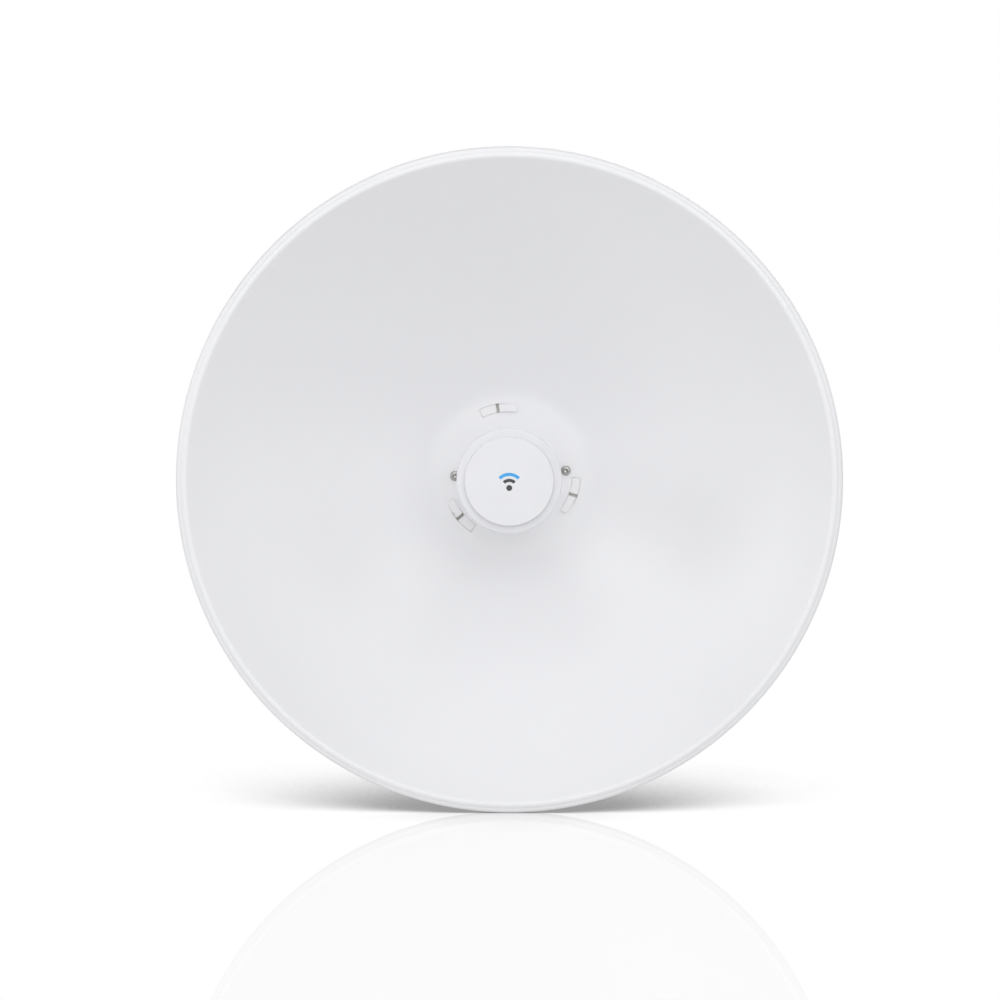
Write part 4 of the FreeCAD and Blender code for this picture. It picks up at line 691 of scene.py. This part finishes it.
def bracket_screws():
    """Socket-head screws with knurled heads."""
    _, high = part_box("bracket_screws")
    head_radius, head_height, shank, pitch, length = 4.6, 4.4, 2.5, 0.8, 15
    socket, knurl_depth, knurls = 4.0, 0.14, 20
    x, z = high.x - head_radius * MM, high.z - head_radius * MM
    mesh = bmesh.new()

    def knurl(level):
        return lambda a: (head_radius - knurl_depth * abs(math.sin(a * knurls)), level)

    for sx in sides(x):
        for sz in sides(z):
            place = axis_matrix((sx, high.y - head_height * MM, sz), (0, 1, 0))
            rings = [
                (0, 0), (head_radius - 0.2, 0), knurl(0.25), knurl(head_height - 0.8),
                (head_radius - 0.5, head_height), (socket * 0.62, head_height),
                lambda a: (hexagon_radius(socket, a), head_height - 0.3),
                lambda a: (hexagon_radius(socket, a), head_height - 2.4), (0, head_height - 2.8),
            ]
            add_turned(mesh, rings, place, count=120, closed=False)
            add_turned(mesh, thread_rings(shank, pitch, -length, 0.1), place, count=24, closed=False)
    screws = finish_mesh(mesh, "bracket_screws_knurled", "plated_fastener")
    stand_in(screws, "bracket_screws")


def dish_screws(flat):
    """Small flanged hexagon screws with a dished head."""
    shank, pitch, length = 2.0, 0.7, 11.5
    flange, flats, head = 4.0, 5.5, 2.9
    mesh = bmesh.new()
    for turn in (0, 180):
        x, z = on_face(SCREW_CIRCLE, SCREW_ANGLE + turn)
        place = axis_matrix((x, -flat * MM, z), (0, -1, 0))
        add_turned(mesh, flange_rings(flange, 0.75, 2.95, 1.05), place, closed=False)
        top = hexagon_rings(flats, 0.4, head)[:-1]
        bowl = [(2.0, head), (1.6, head - 0.55), (1.1, head - 0.75), (0, head - 0.8)]
        add_turned(mesh, top + bowl, place, count=96, closed=False)
        add_turned(mesh, thread_rings(shank, pitch, -length, 0.2), place, count=24, closed=False)
    stand_in(finish_mesh(mesh, "dish_screws_hex", "stainless"), "dish_screws")


def latch_coil():
    """The release button's spring, copied from its CAD node into a piece with a mesh of its own. Its
    length here stays fixed, though the real spring shortens as the button goes in.
    """
    mesh = bmesh.new()
    mesh.from_mesh(NODES["latch_spring"].data)
    item = finish_mesh(mesh, "latch_coil", "stainless")
    stand_in(item, "latch_spring")
    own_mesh(item)


# ---- stage ----

# The floor glows evenly, fades where the object shuts out the sky, and mirrors only at a low angle.
FLOOR_GLOSS_IOR = 1.12
FLOOR_SIZE = 60
SHADOW_REACH = 0.42
SHADOW_RANGE = (0.39, 0.75)
SHADOW_DARK = 0.07
FLOOR_WHITE = 1.004
FLOOR_BOUNCE = 0.76
SHADOW_LEAN = Vector((0, -0.3, 1)).normalized()
SHADOW_SAMPLES = 16
WALL_RADIUS, WALL_HEIGHT, WALL_SIDES = 12.0, 4.0, 96


def stage_floor():
    """A plain white floor, evenly lit as far as the eye sees, with a soft shadow under the object."""
    low, _ = cad_box
    bpy.ops.mesh.primitive_plane_add(size=FLOOR_SIZE, location=(0, 0, low.z))
    floor = bpy.context.object
    floor.name = "floor"
    material = bpy.data.materials.new("floor_white")
    material.use_nodes = True
    tree = material.node_tree
    tree.nodes.clear()
    open_sky = tree.nodes.new("ShaderNodeAmbientOcclusion")
    open_sky.samples = SHADOW_SAMPLES
    open_sky.inputs["Distance"].default_value = SHADOW_REACH
    lean = tree.nodes.new("ShaderNodeCombineXYZ")
    for socket, value in zip("XYZ", SHADOW_LEAN):
        lean.inputs[socket].default_value = value
    tree.links.new(lean.outputs["Vector"], open_sky.inputs["Normal"])
    fade = tree.nodes.new("ShaderNodeMapRange")
    fade.inputs["From Min"].default_value, fade.inputs["From Max"].default_value = SHADOW_RANGE
    fade.inputs["To Min"].default_value = SHADOW_DARK
    fade.inputs["To Max"].default_value = FLOOR_WHITE
    ray = tree.nodes.new("ShaderNodeLightPath")
    level = tree.nodes.new("ShaderNodeMapRange")
    level.inputs["To Max"].default_value = FLOOR_BOUNCE
    glow = tree.nodes.new("ShaderNodeEmission")
    shine = tree.nodes.new("ShaderNodeBsdfGlossy")
    shine.inputs["Color"].default_value = (1, 1, 1, 1)
    shine.inputs["Roughness"].default_value = 0.02
    mixed = tree.nodes.new("ShaderNodeMixShader")
    skim = tree.nodes.new("ShaderNodeFresnel")
    skim.inputs["IOR"].default_value = FLOOR_GLOSS_IOR
    output = tree.nodes.new("ShaderNodeOutputMaterial")
    tree.links.new(open_sky.outputs["AO"], fade.inputs["Value"])
    tree.links.new(ray.outputs["Is Diffuse Ray"], level.inputs["Value"])
    tree.links.new(fade.outputs["Result"], level.inputs["To Min"])
    tree.links.new(level.outputs["Result"], glow.inputs["Strength"])
    tree.links.new(skim.outputs["Fac"], mixed.inputs["Fac"])
    tree.links.new(glow.outputs["Emission"], mixed.inputs[1])
    tree.links.new(shine.outputs["BSDF"], mixed.inputs[2])
    tree.links.new(mixed.outputs["Shader"], output.inputs["Surface"])
    floor.data.materials.append(material)


def stage_wall():
    """A low white wall far off all round, which the floor and the polished metals mirror."""
    low, _ = cad_box
    mesh = bmesh.new()
    bmesh.ops.create_cone(
        mesh, segments=WALL_SIDES, radius1=WALL_RADIUS, radius2=WALL_RADIUS, depth=WALL_HEIGHT,
        matrix=Matrix.Translation((0, 0, low.z + WALL_HEIGHT / 2)),
    )
    data = bpy.data.meshes.new("wall")
    mesh.to_mesh(data)
    mesh.free()
    material = bpy.data.materials.new("wall_white")
    material.use_nodes = True
    tree = material.node_tree
    tree.nodes.clear()
    glow = tree.nodes.new("ShaderNodeEmission")
    output = tree.nodes.new("ShaderNodeOutputMaterial")
    tree.links.new(glow.outputs["Emission"], output.inputs["Surface"])
    data.materials.append(material)
    wall = bpy.data.objects.new("wall", data)
    wall.visible_diffuse = False
    wall.visible_shadow = False
    bpy.context.scene.collection.objects.link(wall)


def area_light(name, place, size, power):
    """A softbox that faces the dish."""
    light = bpy.data.lights.new(name, "AREA")
    light.shape = "RECTANGLE"
    light.size, light.size_y = size
    light.energy = power
    item = bpy.data.objects.new(name, light)
    item.location = place
    item.rotation_mode = "QUATERNION"
    item.rotation_quaternion = (Vector(LIGHT_TARGET) - Vector(place)).to_track_quat("-Z", "Y")
    bpy.context.scene.collection.objects.link(item)


WORLD_FILL = 0.40
LIGHT_TARGET = (0, -0.15, 0)
SOFTBOXES = (
    # name, place, size, power: one overhead, one to each side, a front fill and one behind.
    ("overhead", (0.0, -1.5, 2.1), (3.2, 2.0), 20.0),
    ("left", (-2.2, -1.2, 0.6), (0.9, 1.2), 8.0),
    ("right", (2.1, -1.3, 0.95), (0.9, 1.2), 3.5),
    ("front", (0.2, -3.2, 0.9), (2.6, 1.8), 33.0),
    ("rear", (0.9, 2.6, 1.3), (2.2, 1.2), 26.0),
)


def studio():
    """A white surround, dimmer as a light than to the eye, and the softboxes."""
    world = bpy.data.worlds.new("studio")
    world.use_nodes = True
    tree = world.node_tree
    fill = tree.nodes["Background"]
    fill.inputs["Color"].default_value = (0.98, 0.985, 1.0, 1)
    fill.inputs["Strength"].default_value = WORLD_FILL
    seen = tree.nodes.new("ShaderNodeBackground")
    seen.inputs["Color"].default_value = (1, 1, 1, 1)
    either = tree.nodes.new("ShaderNodeMixShader")
    ray = tree.nodes.new("ShaderNodeLightPath")
    tree.links.new(ray.outputs["Is Camera Ray"], either.inputs["Fac"])
    tree.links.new(fill.outputs["Background"], either.inputs[1])
    tree.links.new(seen.outputs["Background"], either.inputs[2])
    tree.links.new(either.outputs["Shader"], tree.nodes["World Output"].inputs["Surface"])
    scene = bpy.context.scene
    scene.world = world
    scene.view_settings.view_transform = "Standard"
    for name, place, size, power in SOFTBOXES:
        area_light(name, place, size, power)


# Distance and the width seen there in metres, angles in degrees, sensor in mm.
CAMERA_DISTANCE, CAMERA_ELEVATION, CAMERA_AZIMUTH = 2.75, 3.0, 0.4
VIEW_WIDTH = 0.7859
CAMERA_SHIFT = (-0.0093, -0.0188)
SENSOR_WIDTH = 36


def camera():
    """The camera, in front of the dish and a little above its axis."""
    low, high = cad_box
    target = Vector((0, low.y + SKIRT * MM, (low.z + high.z) / 2))
    a, e = math.radians(CAMERA_AZIMUTH), math.radians(CAMERA_ELEVATION)
    back = Vector((math.sin(a) * math.cos(e), -math.cos(a) * math.cos(e), math.sin(e)))
    data = bpy.data.cameras.new("camera")
    data.sensor_width = SENSOR_WIDTH
    data.lens = SENSOR_WIDTH * CAMERA_DISTANCE / VIEW_WIDTH
    data.shift_x, data.shift_y = CAMERA_SHIFT
    item = bpy.data.objects.new("camera", data)
    item.location = target + back * CAMERA_DISTANCE
    item.rotation_mode = "QUATERNION"
    item.rotation_quaternion = (-back).to_track_quat("-Z", "Y")
    bpy.context.scene.collection.objects.link(item)
    bpy.context.scene.camera = item


dress_nodes()
flat_face = reflector()
slot_shroud(flat_face)
carriage_bolts()
clamp_nuts()
side_bolts("pivot_bolts", M8, M8_PITCH, M8_FLANGE, M8_FLATS, M8_HEAD, M8_LENGTH)
side_bolts("lock_bolts", M6, M6_PITCH, M6_FLANGE, M6_FLATS, M6_HEAD, M6_LENGTH)
side_nuts("pivot_nuts", M8, M8_FLANGE, M8_FLATS, M8_SIDE_NUT)
side_nuts("lock_nuts", M6, M6_FLANGE, M6_FLATS, M6_SIDE_NUT)
bracket_screws()
dish_screws(flat_face)
latch_coil()
for sheet_metal in ("pole_bracket", "pole_clamp", "tilt_bracket"):
    soften_node(sheet_metal, SHEET_ROUND)
for moulding in ("rear_cover", "cable_door", "feed_latch", "cable_grommet"):
    soften_node(moulding, MOULDED_ROUND)
soften_node("twist_lock_plate", HOOK_ROUND)
stage_floor()
stage_wall()
studio()
camera()
